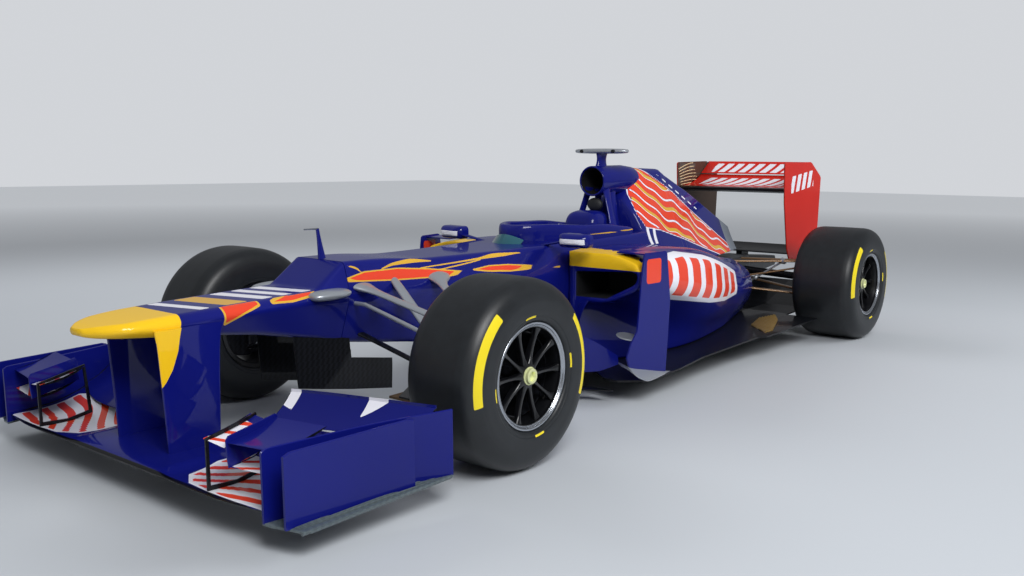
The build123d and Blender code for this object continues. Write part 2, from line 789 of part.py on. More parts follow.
def make_rear_arms():
    """Rear wishbones and pull rods, both sides."""
    up = (rear_axle_x, 640, z_axle + 118)
    low = (rear_axle_x, 640, z_axle - 100)
    upper = arm((rear_x + 305, 60, 345), up) + arm((rear_x + 50, 60, 340), up)
    lower = arm((rear_x + 300, 60, 200), low) + arm((rear_x - 30, 60, 215), low)
    pull = arm((rear_x + 220, 60, 225), (rear_axle_x + 26, 600, z_axle + 100), 16, 12)
    keep_out = body_place * make_gearbox() + rear_block
    pieces = []
    for group in (upper, lower, pull):
        pieces += (group - keep_out).solids()
    return both(Compound(children=pieces))


def make_shafts():
    """Drive shafts from the gear case to the rear uprights."""
    inner = world_point(rear_x + 20, 95, 268)
    left = rod((inner.X, inner.Y, inner.Z), (rear_axle_x, 627.7, z_axle), 22)
    return both(left - body_place * make_gearbox() - rear_block)


def make_seat():
    """Moulded seat shell with a reclined back and raised thigh rest."""
    run = [
        (-1615, 500), (-1480, 150), (-1380, 82), (-1180, 90), (-1010, 190), (-1004, 182),
        (-1170, 80), (-1385, 70), (-1490, 140), (-1627, 500),
    ]
    pan = side(run, 0, 330)
    wall = [
        (-1627, 500), (-1560, 480), (-1430, 260), (-1200, 200), (-1010, 190), (-1004, 182),
        (-1170, 80), (-1385, 70), (-1490, 140),
    ]
    cheeks = both(side(wall, 162, 10))
    return pan + cheeks + box(-1385, -1180, -60, 60, cockpit_floor_z + seat_gap, 76)


def make_steering_wheel():
    """Flat-sided steering wheel with two grips and a hub plate."""
    body = extrude(RectangleRounded(270, 150, 30), 22)
    for s in (-1, 1):
        body -= Pos(s * 104, 0, 0) * extrude(SlotOverall(70, 26, rotation=90), 22)
    a = radians(column_angle)
    face = Plane(
        origin=(steering_wheel_x, 0, steering_wheel_z), x_dir=(0, 1, 0), z_dir=(-cos(a), 0, sin(a))
    )
    return face * body + steering_column(column_radius)


def make_engine():
    """Engine as one plain block."""
    front_x = tub_rear_x - seat_gap
    return box(front_x, gearbox_front_x + seat_gap, -230, 230, tub_bottom_z + seat_gap, 395)


def make_exhausts():
    """Tail pipes leaving the rear of the side pods."""
    pipe = rod((pod_tail_x - seat_gap, 208, 272), (pod_tail_x - 60, 208, 272), 36)
    bore = rod((pod_tail_x - 20, 208, 272), (pod_tail_x - 61, 208, 272), 31)
    return both(pipe - bore)


def save(name, shape):
    """Writes one node."""
    export_step(shape, f"parts/{name}.step")


def main():
    """Builds every node and writes it in the world frame."""
    inboard = make_inboard()
    main_plane = make_main_plane(inboard)
    surround = make_surround()
    hoop = make_hoop(surround)
    hoop_space = rod((duct_front_x, 0, duct_z), (duct_rear_x, 0, duct_z), duct_radius + 0.2)
    cover = make_cover(hoop_space)
    pod = make_pod() - cover
    body_nodes = {
        "monocoque": make_tub(),
        "nose_cone": make_nose(main_plane),
        "front_wing_main": main_plane,
        "front_wing_flaps": make_flaps(inboard),
        "front_wing_endplates": make_end_plates(),
        "front_wing_cascades": make_cascades(main_plane, inboard),
        "cockpit_surround": surround,
        "roll_hoop": hoop,
        "engine_cover": cover,
        "sidepod_left": pod,
        "sidepod_right": mirrored(pod),
        "floor": make_floor(),
        "plank": box(tray_front_x, floor_rear_x + 5, -150, 150, -plank_thickness, 0),
        "turning_vanes": make_turning_vanes(),
        "bargeboards": make_bargeboards(),
        "pod_vanes": make_pod_vanes(),
        "mirrors": make_mirrors(),
        "camera_pod": make_camera_pod(),
        "nose_cameras": make_nose_cameras(),
        "rear_wing_endplates": make_rear_plates(),
        "rear_wing_main": make_rear_main(),
        "drs_flap": make_flap(),
        "beam_wing": make_beam_wing(),
        "crash_structure": make_tail(),
        "gearbox": make_gearbox(),
        "engine_block": make_engine(),
        "exhausts": make_exhausts(),
        "seat": make_seat(),
        "steering_wheel": make_steering_wheel(),
    }
    for name, shape in body_nodes.items():
        save(name, body_place * shape)
    save("front_wishbones", make_front_arms())
    save("rear_wishbones", make_rear_arms())
    save("drive_shafts", make_shafts())
    save("steering_rack", make_rack())
    knuckle = make_knuckle()
    rear_upright = make_rear_upright()
    save("knuckle_front_left", knuckle)
    save("knuckle_front_right", mirrored(knuckle))
    save("upright_rear_left", rear_upright)
    save("upright_rear_right", mirrored(rear_upright))
    # Columns: name, axle x, outer face y, width
    wheels = [
        ("front", front_axle_x, front_tyre_outer, front_tyre_width),
        ("rear", rear_axle_x, rear_tyre_outer, rear_tyre_width),
    ]
    for end, x, outer_y, width in wheels:
        tyre = Pos(x, 0, z_axle) * make_tyre(outer_y, width)
        rim = Pos(x, 0, z_axle) * make_rim(outer_y, width)
        save(f"tyre_{end}_left", tyre)
        save(f"tyre_{end}_right", mirrored(tyre))
        save(f"rim_{end}_left", rim)
        save(f"rim_{end}_right", mirrored(rim))


main()
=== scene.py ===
"""Looks of the open wheel racing car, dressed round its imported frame.

Lengths are in millimetres until a mesh is written. A piece of bodywork is worked out in the
body frame (x forward from the front axle, z up from the reference plane), which stands nose
down by the rake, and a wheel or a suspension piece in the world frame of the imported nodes.
"""

import json
import logging
import math
from collections.abc import Callable
from dataclasses import dataclass, field
from enum import Enum

import bmesh
import bpy
import numpy as np
from mathutils import Matrix, Vector


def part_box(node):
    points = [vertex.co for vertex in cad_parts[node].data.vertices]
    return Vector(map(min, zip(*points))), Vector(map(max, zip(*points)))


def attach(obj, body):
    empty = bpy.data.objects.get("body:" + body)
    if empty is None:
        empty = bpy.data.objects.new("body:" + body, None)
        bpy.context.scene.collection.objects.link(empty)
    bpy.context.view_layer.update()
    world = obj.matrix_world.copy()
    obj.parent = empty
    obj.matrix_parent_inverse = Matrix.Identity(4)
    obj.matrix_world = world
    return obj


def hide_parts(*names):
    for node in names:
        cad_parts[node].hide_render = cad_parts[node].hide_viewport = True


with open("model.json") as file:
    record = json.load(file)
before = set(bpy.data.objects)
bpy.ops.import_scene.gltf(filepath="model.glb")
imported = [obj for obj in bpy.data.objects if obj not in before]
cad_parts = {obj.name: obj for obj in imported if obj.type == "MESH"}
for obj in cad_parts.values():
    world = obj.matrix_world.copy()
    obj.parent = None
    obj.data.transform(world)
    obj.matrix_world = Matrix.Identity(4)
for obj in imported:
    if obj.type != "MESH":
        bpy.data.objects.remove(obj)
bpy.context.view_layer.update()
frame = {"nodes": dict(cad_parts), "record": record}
log = logging.getLogger("car")
Array = np.ndarray
Marks = dict[str, Array]


def node_middle(node: str) -> Array:
    """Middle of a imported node's box in millimetres."""
    low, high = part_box(node)
    return (np.array(low) + np.array(high)) * 500.0


FRONT_AXLE_X = float(node_middle("tyre_front_left")[0])
REAR_AXLE_X = float(node_middle("tyre_rear_left")[0])
AXLE_Z = 330.0
RIDE_FRONT = 24.5
RAKE = math.radians(1.2142778)
BODY = "car"
MERGE_M = 0.00002
COAT_ROUGHNESS = 0.04
# A mark's edge fades over this much of its distance, in millimetres
EDGE_FROM, EDGE_TO = 0.1, 0.8
# Columns: end, axle x, outer face y, width, hub face outside the middle plane
AXLES = (("front", FRONT_AXLE_X, 900.0, 308.0, 100.0), ("rear", REAR_AXLE_X, 895.0, 375.0, 108.0))


def table(rows: list[tuple[float, ...]]) -> Array:
    """Default of a dataclass field: a fresh array of the rows."""
    return field(default_factory=lambda: np.array(rows, dtype=float))


def turns(count: int) -> Array:
    """Angles of a full turn in equal steps, the first at zero."""
    return np.linspace(0, 2 * math.pi, count, endpoint=False)


def linear(code: str) -> tuple[float, float, float, float]:
    """Turns an sRGB hex colour to linear values.

    Args:
        code: six hex digits, red first.

    Returns:
        Linear red, green, blue and an alpha of one.
    """
    parts = [int(code[i:i + 2], 16) / 255 for i in (0, 2, 4)]
    lit = [p / 12.92 if p <= 0.04045 else ((p + 0.055) / 1.055) ** 2.4 for p in parts]
    return (lit[0], lit[1], lit[2], 1.0)


def add_node(tree: bpy.types.NodeTree, kind: str, inputs: dict | None = None,
             **settings: object) -> bpy.types.Node:
    """Adds one node with its settings, values and links.

    Args:
        tree: node tree to add to.
        kind: node type without its "ShaderNode" prefix.
        inputs: input name or number to a value, or to the output socket that feeds it.
        settings: attributes of the node itself.

    Returns:
        The new node.
    """
    made = tree.nodes.new("ShaderNode" + kind)
    for name, value in settings.items():
        setattr(made, name, value)
    for key, value in (inputs or {}).items():
        if isinstance(value, bpy.types.NodeSocket):
            tree.links.new(value, made.inputs[key])
        else:
            made.inputs[key].default_value = value
    return made


class Grain(Enum):
    """What a finish shows close up."""

    PEEL = "sprayed lacquer: faint orange peel, 12 mm apart"
    WEAVE = "twill woven cloth under clear resin, tows drawn 6 mm wide so that they show"
    CAST = "sand cast skin, 3 mm pits"
    RUBBER = "moulded rubber with scuffs a few centimetres long"
    TURNED = "lathe marks round the axle, drawn 1.5 mm apart"
    BOARD = "pressed laminate with its layers along the car"
    FOAM = "covered foam with a fine leather grain, 2 mm"


@dataclass(frozen=True)
class Finish:
    """A real surface: its common name, colour and gloss, and what it shows close up.

    The coat is clear lacquer over the colour. Marks are names of distances stored on the
    mesh, each with the colour painted where it is above zero, the last one on top. A mesh
    without them reads as zero, which paints nothing.
    """

    name: str
    colour: str
    rough: float
    grain: Grain
    metal: float = 0.0
    coat: float = 0.0
    tint: str = ""
    marks: tuple[tuple[str, str], ...] = ()
    bump: float = 1.0
    shine: float = 0.5

    def make(self) -> bpy.types.Material:
        """Makes the material once and keeps it by name.

        Returns:
            The material, made now or before.
        """
        known = bpy.data.materials.get(self.name)
        if known:
            return known
        material = bpy.data.materials.new(self.name)
        material.use_nodes = True
        tree = material.node_tree
        shader = tree.nodes["Principled BSDF"]
        shader.inputs["Metallic"].default_value = self.metal
        shader.inputs["Roughness"].default_value = self.rough
        shader.inputs["Coat Weight"].default_value = self.coat
        shader.inputs["Specular IOR Level"].default_value = self.shine
        shader.inputs["Coat Roughness"].default_value = COAT_ROUGHNESS
        place = add_node(tree, "TexCoord").outputs["Object"]
        colour, height, depth = self.pattern(tree, place)
        for mark, code in self.marks:
            near = add_node(tree, "Attribute", attribute_name=mark)
            fade = {"Value": near.outputs["Fac"], "From Min": EDGE_FROM, "From Max": EDGE_TO}
            edge = add_node(tree, "MapRange", fade)
            colour = self.mix(tree, edge.outputs[0], colour, linear(code))
        tree.links.new(colour, shader.inputs["Base Color"])
        bump = add_node(tree, "Bump", {"Height": height, "Distance": depth * self.bump, "Strength": 1.0})
        tree.links.new(bump.outputs[0], shader.inputs["Normal"])
        if self.coat > 0:
            tree.links.new(bump.outputs[0], shader.inputs["Coat Normal"])
        return material

    def mix(self, tree: bpy.types.NodeTree, share: bpy.types.NodeSocket, low: object,
            high: object) -> bpy.types.NodeSocket:
        """Blends two colours, each a value or a socket, by a share."""
        return add_node(tree, "Mix", {0: share, 6: low, 7: high}, data_type="RGBA").outputs[2]

    def noise(self, tree: bpy.types.NodeTree, place: bpy.types.NodeSocket, size_mm: float,
              detail: float = 2.0, stretch: tuple[float, float, float] = (1, 1, 1)) -> bpy.types.NodeSocket:
        """Noise whose grains are about a size in millimetres, stretched along the axes.

        Args:
            tree: node tree to add to.
            place: socket of the point in metres.
            size_mm: size of a grain.
            detail: finer layers over the first.
            stretch: how many times finer it is along each axis.

        Returns:
            Socket of a value from zero to one.
        """
        spread = add_node(tree, "Mapping", {"Vector": place, "Scale": stretch})
        field_node = add_node(tree, "TexNoise",
                              {"Vector": spread.outputs[0], "Scale": 1000 / size_mm, "Detail": detail})
        return field_node.outputs["Fac"]

    def pattern(self, tree: bpy.types.NodeTree, place: bpy.types.NodeSocket) -> tuple:
        """Colour, bump height and bump depth in metres of the grain.

        Args:
            tree: node tree to add to.
            place: socket of the point in metres.

        Returns:
            The colour's and the height's sockets, and the depth.
        """
        base = linear(self.colour)
        other = linear(self.tint or self.colour)
        if self.grain is Grain.PEEL:
            broad = self.noise(tree, place, 400.0)
            return self.mix(tree, broad, base, other), self.noise(tree, place, 12.0, 0.0), 0.00002
        if self.grain is Grain.WEAVE:
            weave = self.twill(tree, place)
            return self.mix(tree, weave, base, other), weave, 0.00005
        if self.grain is Grain.CAST:
            pits = self.noise(tree, place, 3.0, 3.0)
            return self.mix(tree, self.noise(tree, place, 60.0), base, other), pits, 0.0003
        if self.grain is Grain.RUBBER:
            scuff = self.noise(tree, place, 40.0, 5.0)
            return self.mix(tree, scuff, base, other), self.noise(tree, place, 5.0, 4.0), 0.0001
        if self.grain is Grain.TURNED:
            rings = self.noise(tree, place, 30.0, 2.0, (1, 20, 1))
            return self.mix(tree, self.noise(tree, place, 80.0), base, other), rings, 0.00004
        if self.grain is Grain.BOARD:
            layers = self.noise(tree, place, 20.0, 4.0, (0.1, 1, 3))
            return self.mix(tree, layers, base, other), layers, 0.0002
        leather = self.noise(tree, place, 2.0, 3.0)
        return self.mix(tree, self.noise(tree, place, 50.0), base, other), leather, 0.0002

    def twill(self, tree: bpy.types.NodeTree, place: bpy.types.NodeSocket) -> bpy.types.NodeSocket:
        """Twill: two families of tows, at 45 degrees to the car, each over and under in turn.

        Args:
            tree: node tree to add to.
            place: socket of the point in metres.

        Returns:
            Socket that is one on the upper tow.
        """
        tow = 6.0
        axes = add_node(tree, "SeparateXYZ", {"Vector": place})
        sums = []
        for first, second, sign in (("X", "Z", "ADD"), ("X", "Y", "SUBTRACT")):
            line = add_node(tree, "Math", {0: axes.outputs[first], 1: axes.outputs[second]}, operation=sign)
            step = add_node(tree, "Math", {0: line.outputs[0], 1: 1000 / tow}, operation="MULTIPLY")
            sums.append(add_node(tree, "Math", {0: step.outputs[0], 1: 2.0},
                                 operation="PINGPONG").outputs[0])
        return add_node(tree, "Math", {0: sums[0], 1: sums[1]}, operation="GREATER_THAN").outputs[0]


NAVY = "0B1164"
WHITE = "E9E9F2"
ORANGE = "E2452C"
GOLD = "D9A93A"
YELLOW = "F2C21E"
# Sprayed and polished lacquer: deep navy with a soft sheen, and the livery over it; its dark mark is
# painted shade on the front wing's leading edge
LACQUER = Finish("gloss lacquer on carbon", NAVY, 0.4, Grain.PEEL, coat=0.6, tint="101876", shine=0.05,
                 marks=(
    ("white", WHITE), ("gold", GOLD), ("orange", ORANGE), ("yellow", YELLOW), ("grey", "7C8592"),
    ("dark", "08090D")))
# The same lacquer in red on the rear wing, with white bars and dark undersides
RED_LACQUER = Finish("red gloss lacquer on carbon", "C4201A", 0.4, Grain.PEEL, coat=0.5, tint="CE2A1C",
                     shine=0.05, marks=(
    ("white", WHITE), ("grey", "4A3C34"), ("dark", "0A0A0D")))
# Woven carbon under clear resin: near black, the twill seen only close up
CARBON = Finish("clear coated twill carbon", "0B0C10", 0.42, Grain.WEAVE, coat=0.3, tint="14161B",
                shine=0.15)
# Bare wing foot: a dull grey that sets it off from the paint, made pale by a painted sheen of light on the
# bare carbon
GREY_CARBON = Finish("bare resin carbon, pale painted sheen", "4A5458", 0.36, Grain.WEAVE, coat=0.3, tint="525D61")
# Louvre blades in thin cream lines: painted highlights along their edges
LOUVRE_HIGHLIGHT = Finish("cream louvre edges, painted highlight", "E6CFA4", 0.5, Grain.PEEL)
# Metallic lacquer on the arms and the camera blade: light grey, broad soft highlights
SILVER = Finish("satin silver lacquer", "B4B9C0", 0.32, Grain.PEEL, metal=0.55, coat=0.3, tint="9DA3AB")
# Sand cast magnesium cases: grey and faintly pitted
CAST_METAL = Finish("cast magnesium", "5E6064", 0.5, Grain.CAST, metal=0.8, tint="74767A")
# Slick tyre rubber: near black with a low sheen and worn patches, yellow arcs on its wall
RUBBER = Finish("moulded tyre rubber", "111316", 0.42, Grain.RUBBER, tint="1F2327",
                marks=(("yellow", "E8D21C"),))
# Forged wheel, black coated: glints on its turned edges
MAGNESIUM = Finish("black coated forged magnesium", "0E0F12", 0.3, Grain.TURNED, metal=0.3, coat=0.4,
                   tint="16171B")
# Turned or milled aluminium: bright, with fine lathe marks
MACHINED = Finish("machined aluminium", "B9BDC4", 0.26, Grain.TURNED, metal=1.0, tint="A9ADB4", bump=0.2)
# Anodised wheel nut: a pale yellow spot in the dark rim
NUT_METAL = Finish("anodised aluminium", "DFE4A0", 0.35, Grain.TURNED, metal=0.5, tint="ECEFC4", bump=0.4)
# Skid board of pressed wood: matt brown in layers
BOARD_WOOD = Finish("pressed wood laminate", "6B5338", 0.7, Grain.BOARD, tint="4E3B27")
# Tinted wind deflector: glossy blue green
SMOKED = Finish("smoked polycarbonate", "1F5664", 0.08, Grain.PEEL, coat=1.0, tint="245A66")
# Mirror glass: a clear image of what is behind
MIRROR_GLASS = Finish("silvered mirror glass", "C8CDD6", 0.03, Grain.PEEL, metal=1.0)
# Covered foam of the head rest and the seat: matt black, no highlights
PADDING = Finish("black covered foam", "16171A", 0.6, Grain.FOAM, tint="1E2024")
# Bare inner skin of the cockpit and the ducts: black, so that openings read as deep
INSIDE = Finish("bare carbon inside", "0B0C0F", 0.6, Grain.WEAVE, tint="121317")
# Crinkled heat foil: warm gold, many small highlights
FOIL = Finish("gold heat foil", "D8AE58", 0.3, Grain.CAST, metal=0.8, tint="EBC777")
# Rear arms in brown metal with a soft sheen: the warm light on them painted into their colour
WARM_LIT_BRONZE = Finish("bronze, painted warm light", "86694E", 0.36, Grain.PEEL, metal=0.5, coat=0.2, tint="9A7B5C")
BY_SLOT = {
    "blue_paint": LACQUER, "red_paint": RED_LACQUER, "carbon_fibre": CARBON, "silver_paint": SILVER,
    "cast_metal": CAST_METAL, "tyre_rubber": RUBBER, "magnesium_rim": MAGNESIUM, "plank_board": BOARD_WOOD,
}


def follow(table: Array, at: Array) -> Array:
    """Smooth curve through a table's rows.

    Piecewise cubic Hermite: between two rows the value is their blend by the cubic Hermite
    weights, with slopes that are the harmonic mean of the neighbouring steps where both have
    one sign, and zero elsewhere, so it never overshoots.

    Args:
        table: rows of (key, value, ...), the keys rising.
        at: keys to work it out at.

    Returns:
        One row of values for each key.
    """
    keys, values = table[:, 0], table[:, 1:]
    gap = np.diff(keys)[:, None]
    step = np.diff(values, axis=0) / gap
    slope = np.zeros_like(values)
    slope[0], slope[-1] = step[0], step[-1]
    low, high = step[:-1], step[1:]
    same = low * high > 0
    slope[1:-1] = np.where(same, 2 * low * high / np.where(same, low + high, 1), 0)
    spot = np.clip(np.searchsorted(keys, at, side="right") - 1, 0, len(keys) - 2)
    t = ((np.clip(at, keys[0], keys[-1]) - keys[spot]) / gap[spot, 0])[:, None]
    h = gap[spot]
    return (values[spot] * (2 * t**3 - 3 * t**2 + 1) + slope[spot] * h * (t**3 - 2 * t**2 + t)
            + values[spot + 1] * (3 * t**2 - 2 * t**3) + slope[spot + 1] * h * (t**3 - t**2))


def rounded(corners: Array, radii: Array, arc: int = 5, flat: int = 3) -> Array:
    """Closed rings whose corners are rounded.

    Each corner is a quadratic Bezier arc from a point on the edge before it to one on the edge
    after it, both a radius from the corner, and the flat to the next corner is divided evenly.

    Args:
        corners: (rings, corners, 2) points of polygons.
        radii: radius of each corner, one row or one for each ring.
        arc: points along each arc.
        flat: points inside each flat.

    Returns:
        (rings, corners * (arc + flat), 2) points.
    """
    back = np.roll(corners, 1, axis=1) - corners
    ahead = np.roll(corners, -1, axis=1) - corners
    back_length = np.maximum(np.linalg.norm(back, axis=-1), 1e-6)
    ahead_length = np.maximum(np.linalg.norm(ahead, axis=-1), 1e-6)
    reach = np.minimum(np.broadcast_to(radii, back_length.shape),
                       0.49 * np.minimum(back_length, ahead_length))
    start = corners + back * (reach / back_length)[..., None]
    end = corners + ahead * (reach / ahead_length)[..., None]
    t = np.linspace(0, 1, arc)[None, None, :, None]
    bend = start[:, :, None] * (1 - t)**2 + corners[:, :, None] * 2 * t * (1 - t) + end[:, :, None] * t**2
    f = (np.arange(1, flat + 1) / (flat + 1))[None, None, :, None]
    run = end[:, :, None] * (1 - f) + np.roll(start, -1, axis=1)[:, :, None] * f
    return np.concatenate([bend, run], axis=2).reshape(len(corners), -1, 2)


def across(stations: Array, rings: Array) -> Array:
    """Stands rings of (y, z) points at stations along x."""
    x = np.broadcast_to(stations[:, None], rings.shape[:2])
    return np.stack([x, rings[..., 0], rings[..., 1]], axis=-1)


def inside(u: Array, v: Array, outline: list[tuple[float, float]]) -> Array:
    """Signed distance to a closed outline, above zero inside it.

    The distance is the least one to any edge, and the sign comes from how many edges a ray
    along u crosses.

    Args:
        u: first coordinate of the points.
        v: second coordinate of the points.
        outline: corners in order.

    Returns:
        One distance for each point.
    """
    a = np.array(outline, dtype=float)
    b = np.roll(a, -1, axis=0)
    edge = b - a
    rel = np.stack([u, v], axis=-1)[:, None, :] - a
    t = np.clip((rel * edge).sum(-1) / (edge**2).sum(-1), 0, 1)
    gap = np.linalg.norm(rel - t[..., None] * edge, axis=-1).min(axis=1)
    over = (a[:, 1] > v[:, None]) != (b[:, 1] > v[:, None])
    rise = np.where(edge[:, 1] == 0, 1e-9, edge[:, 1])
    left = u[:, None] < a[:, 0] + (v[:, None] - a[:, 1]) * edge[:, 0] / rise
    return np.where((over & left).sum(axis=1) % 2 == 1, gap, -gap)


def stripe(u: Array, v: Array, table: list[tuple[float, float, float]]) -> Array:
    """Signed distance to a stripe along u: half its width less how far v is from its middle.

    Args:
        u: place along the stripe.
        v: place across it.
        table: rows of u, the middle's v and the width, with u rising.

    Returns:
        One distance for each point.
    """
    rows = np.array(table, dtype=float)
    middle, width = follow(rows, u).T
    past = np.maximum(rows[0, 0] - u, u - rows[-1, 0])
    return np.minimum(width / 2 - np.abs(v - middle), -past)


@dataclass
class Shell:
    """The faces of one piece, gathered surface by surface in millimetres.

    Attributes:
        tilted: whether its points are in the body frame.
    """

    tilted: bool = True
    points: list[Array] = field(default_factory=list)
    faces: list[Array] = field(default_factory=list)
    slots: list[int] = field(default_factory=list)

    def add(self, points: Array, faces: Array, slot: int = 0) -> None:
        """Adds a patch.

        Args:
            points: its points, in any grid of threes.
            faces: rows of point numbers, counted within the patch.
            slot: number of its finish.
        """
        self.points.append(points.reshape(-1, 3))
        self.faces.append(faces)
        self.slots.append(slot)

    def grid(self, points: Array, around: bool = False, along: bool = False, slot: int = 0) -> None:
        """Adds quads over a two-parameter grid.

        Args:
            points: (rows, columns, 3) grid.
            around: whether the last column joins the first.
            along: whether the last row joins the first.
            slot: number of its finish.
        """
        rows, columns = points.shape[:2]
        index = np.arange(rows * columns).reshape(rows, columns)
        if along:
            index = np.vstack([index, index[:1]])
        if around:
            index = np.hstack([index, index[:, :1]])
        quads = np.stack([index[:-1, :-1], index[:-1, 1:], index[1:, 1:], index[1:, :-1]], axis=-1)
        self.add(points, quads.reshape(-1, 4), slot)

    def lid(self, ring: Array, slot: int = 0) -> None:
        """Closes a ring with triangles to its middle.

        Args:
            ring: its points in order.
            slot: number of its finish.
        """
        last = len(ring)
        index = np.arange(last)
        fan = np.stack([index, np.roll(index, -1), np.full(last, last)], axis=-1)
        self.add(np.vstack([ring, ring.mean(axis=0)]), fan, slot)

    def closed(self, rings: Array, slot: int = 0) -> None:
        """Adds a tube of closed rings with a lid at both ends.

        Args:
            rings: (rings, points, 3) array.
            slot: number of its finish.
        """
        self.grid(rings, around=True, slot=slot)
        self.lid(rings[0], slot)
        self.lid(rings[-1], slot)

    def wing(self, rings: Array, upper: int = 0, lower: int = 1) -> None:
        """Adds wing sections whose upper and lower faces have their own finish.

        Args:
            rings: sections from foil, upper side first.
            upper: slot of the upper side.
            lower: slot of the lower side and the ends.
        """
        half = rings.shape[1] // 2
        self.grid(rings[:, :half], slot=upper)
        self.grid(np.concatenate([rings[:, half - 1:], rings[:, :1]], axis=1), slot=lower)
        self.lid(rings[0], lower)
        self.lid(rings[-1], lower)

    def mirrored(self, first: int = 0) -> None:
        """Adds the mirror image in y of the patches from the first one on.

        Args:
            first: number of the first patch.
        """
        for points, faces, slot in list(zip(self.points, self.faces, self.slots))[first:]:
            self.add(points * [1, -1, 1], faces[:, ::-1], slot)

    def build(self, name: str, finishes: list[Finish], replaces: list[str], body: str = BODY,
              slot: str = "", sharp: float = 38.0,
              marks: Callable[[Array], Marks] | None = None) -> bpy.types.Object:
        """Writes the mesh in metres, dresses it and puts it on its body.

        Doubles are merged and the normals turned outwards before it is shaded smooth, with
        its sharp edges kept.

        Args:
            name: name of the piece.
            finishes: its finishes, by slot number.
            replaces: CAD nodes that it stands for.
            body: body that it rides on.
            slot: material slot of the record. Not used.
            sharp: angle in degrees past which an edge stays crisp.
            marks: function from points in the piece's own frame to named distances.

        Returns:
            The new object.
        """
        gathered = np.vstack(self.points)
        placed = to_world(gathered) if self.tilted else gathered
        data = bpy.data.meshes.new(name)
        starts = np.cumsum([0] + [len(p) for p in self.points[:-1]])
        numbered = [face for part, start in zip(self.faces, starts) for face in (part + start).tolist()]
        data.from_pydata((placed / 1000).tolist(), [], numbered)
        slots = np.repeat(self.slots, [len(part) for part in self.faces])
        data.polygons.foreach_set("material_index", slots.astype(np.int32))
        work = bmesh.new()
        work.from_mesh(data)
        bmesh.ops.remove_doubles(work, verts=work.verts, dist=MERGE_M)
        bmesh.ops.dissolve_degenerate(work, dist=MERGE_M, edges=work.edges)
        bmesh.ops.recalc_face_normals(work, faces=work.faces)
        work.to_mesh(data)
        work.free()
        data.polygons.foreach_set("use_smooth", np.ones(len(data.polygons), dtype=bool))
        data.set_sharp_from_angle(angle=math.radians(sharp))
        if marks:
            flat = np.empty(len(data.vertices) * 3)
            data.vertices.foreach_get("co", flat)
            spots = flat.reshape(-1, 3) * 1000
            for mark, values in marks(from_world(spots) if self.tilted else spots).items():
                layer = data.attributes.new(mark, "FLOAT", "POINT")
                layer.data.foreach_set("value", values.astype(np.float32))
        for finish in finishes:
            data.materials.append(finish.make())
        piece = bpy.data.objects.new(name, data)
        bpy.context.scene.collection.objects.link(piece)
        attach(piece, body)
        if replaces:
            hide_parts(*replaces)
        log.info("%s: %d faces", name, len(data.polygons))
        return piece


def to_world(points: Array) -> Array:
    """Body points to the world: turned by the rake, then moved to the front axle and ride height.

    Args:
        points: (n, 3) points in the body frame.

    Returns:
        The same points in the world frame.
    """
    c, s = math.cos(RAKE), math.sin(RAKE)
    x = FRONT_AXLE_X + points[:, 0] * c + points[:, 2] * s
    z = RIDE_FRONT - points[:, 0] * s + points[:, 2] * c
    return np.stack([x, points[:, 1], z], axis=-1)


def from_world(points: Array) -> Array:
    """World points back to the body frame.

    Args:
        points: (n, 3) points in the world frame.

    Returns:
        The same points in the body frame.
    """
    c, s = math.cos(RAKE), math.sin(RAKE)
    x, z = points[:, 0] - FRONT_AXLE_X, points[:, 2] - RIDE_FRONT
    return np.stack([x * c - z * s, points[:, 1], x * s + z * c], axis=-1)


def hull_rings(rows: Array, stations: Array, radii: tuple[float, float, float], arc: int = 6,
               flat: int = 4) -> Array:
    """Rings of a six-sided body with rounded corners, the same on both sides.

    Args:
        rows: x, then half width and height of the top, the widest line and the bottom, with x
            falling.
        stations: x of each ring, falling.
        radii: corner radius at the bottom, the widest line and the top.
        arc: points along each corner.
        flat: points inside each flat.

    Returns:
        (stations, points, 3) rings that start at the right bottom corner.
    """
    key = rows.copy()
    key[:, 0] = -key[:, 0]
    top, top_z, mid, mid_z, low, low_z = follow(key, -stations).T
    left = np.stack([np.stack([low, low_z], -1), np.stack([mid, mid_z], -1), np.stack([top, top_z], -1)],
                    axis=1)
    right = left[:, ::-1] * [-1, 1]
    corners = np.concatenate([left, right], axis=1)
    return across(stations, rounded(corners, np.array([*radii, *radii[::-1]]), arc, flat))


def dome(ring: Array, depth: float, steps: int = 6) -> Array:
    """Rings that close a ring with a rounded end.

    Each ring is the first one drawn in to its middle by the cosine of an angle and moved along
    x by the depth times its sine.

    Args:
        ring: (points, 3) ring to close.
        depth: how far the end stands out, below zero to the rear.
        steps: number of rings.

    Returns:
        (steps, points, 3) rings, the widest first.
    """
    angle = np.linspace(0, math.pi / 2, steps)[:, None, None]
    middle = ring.mean(axis=0)
    return middle + (ring - middle) * np.maximum(np.cos(angle),
                                                 0.02) + np.sin(angle) * np.array([depth, 0, 0])


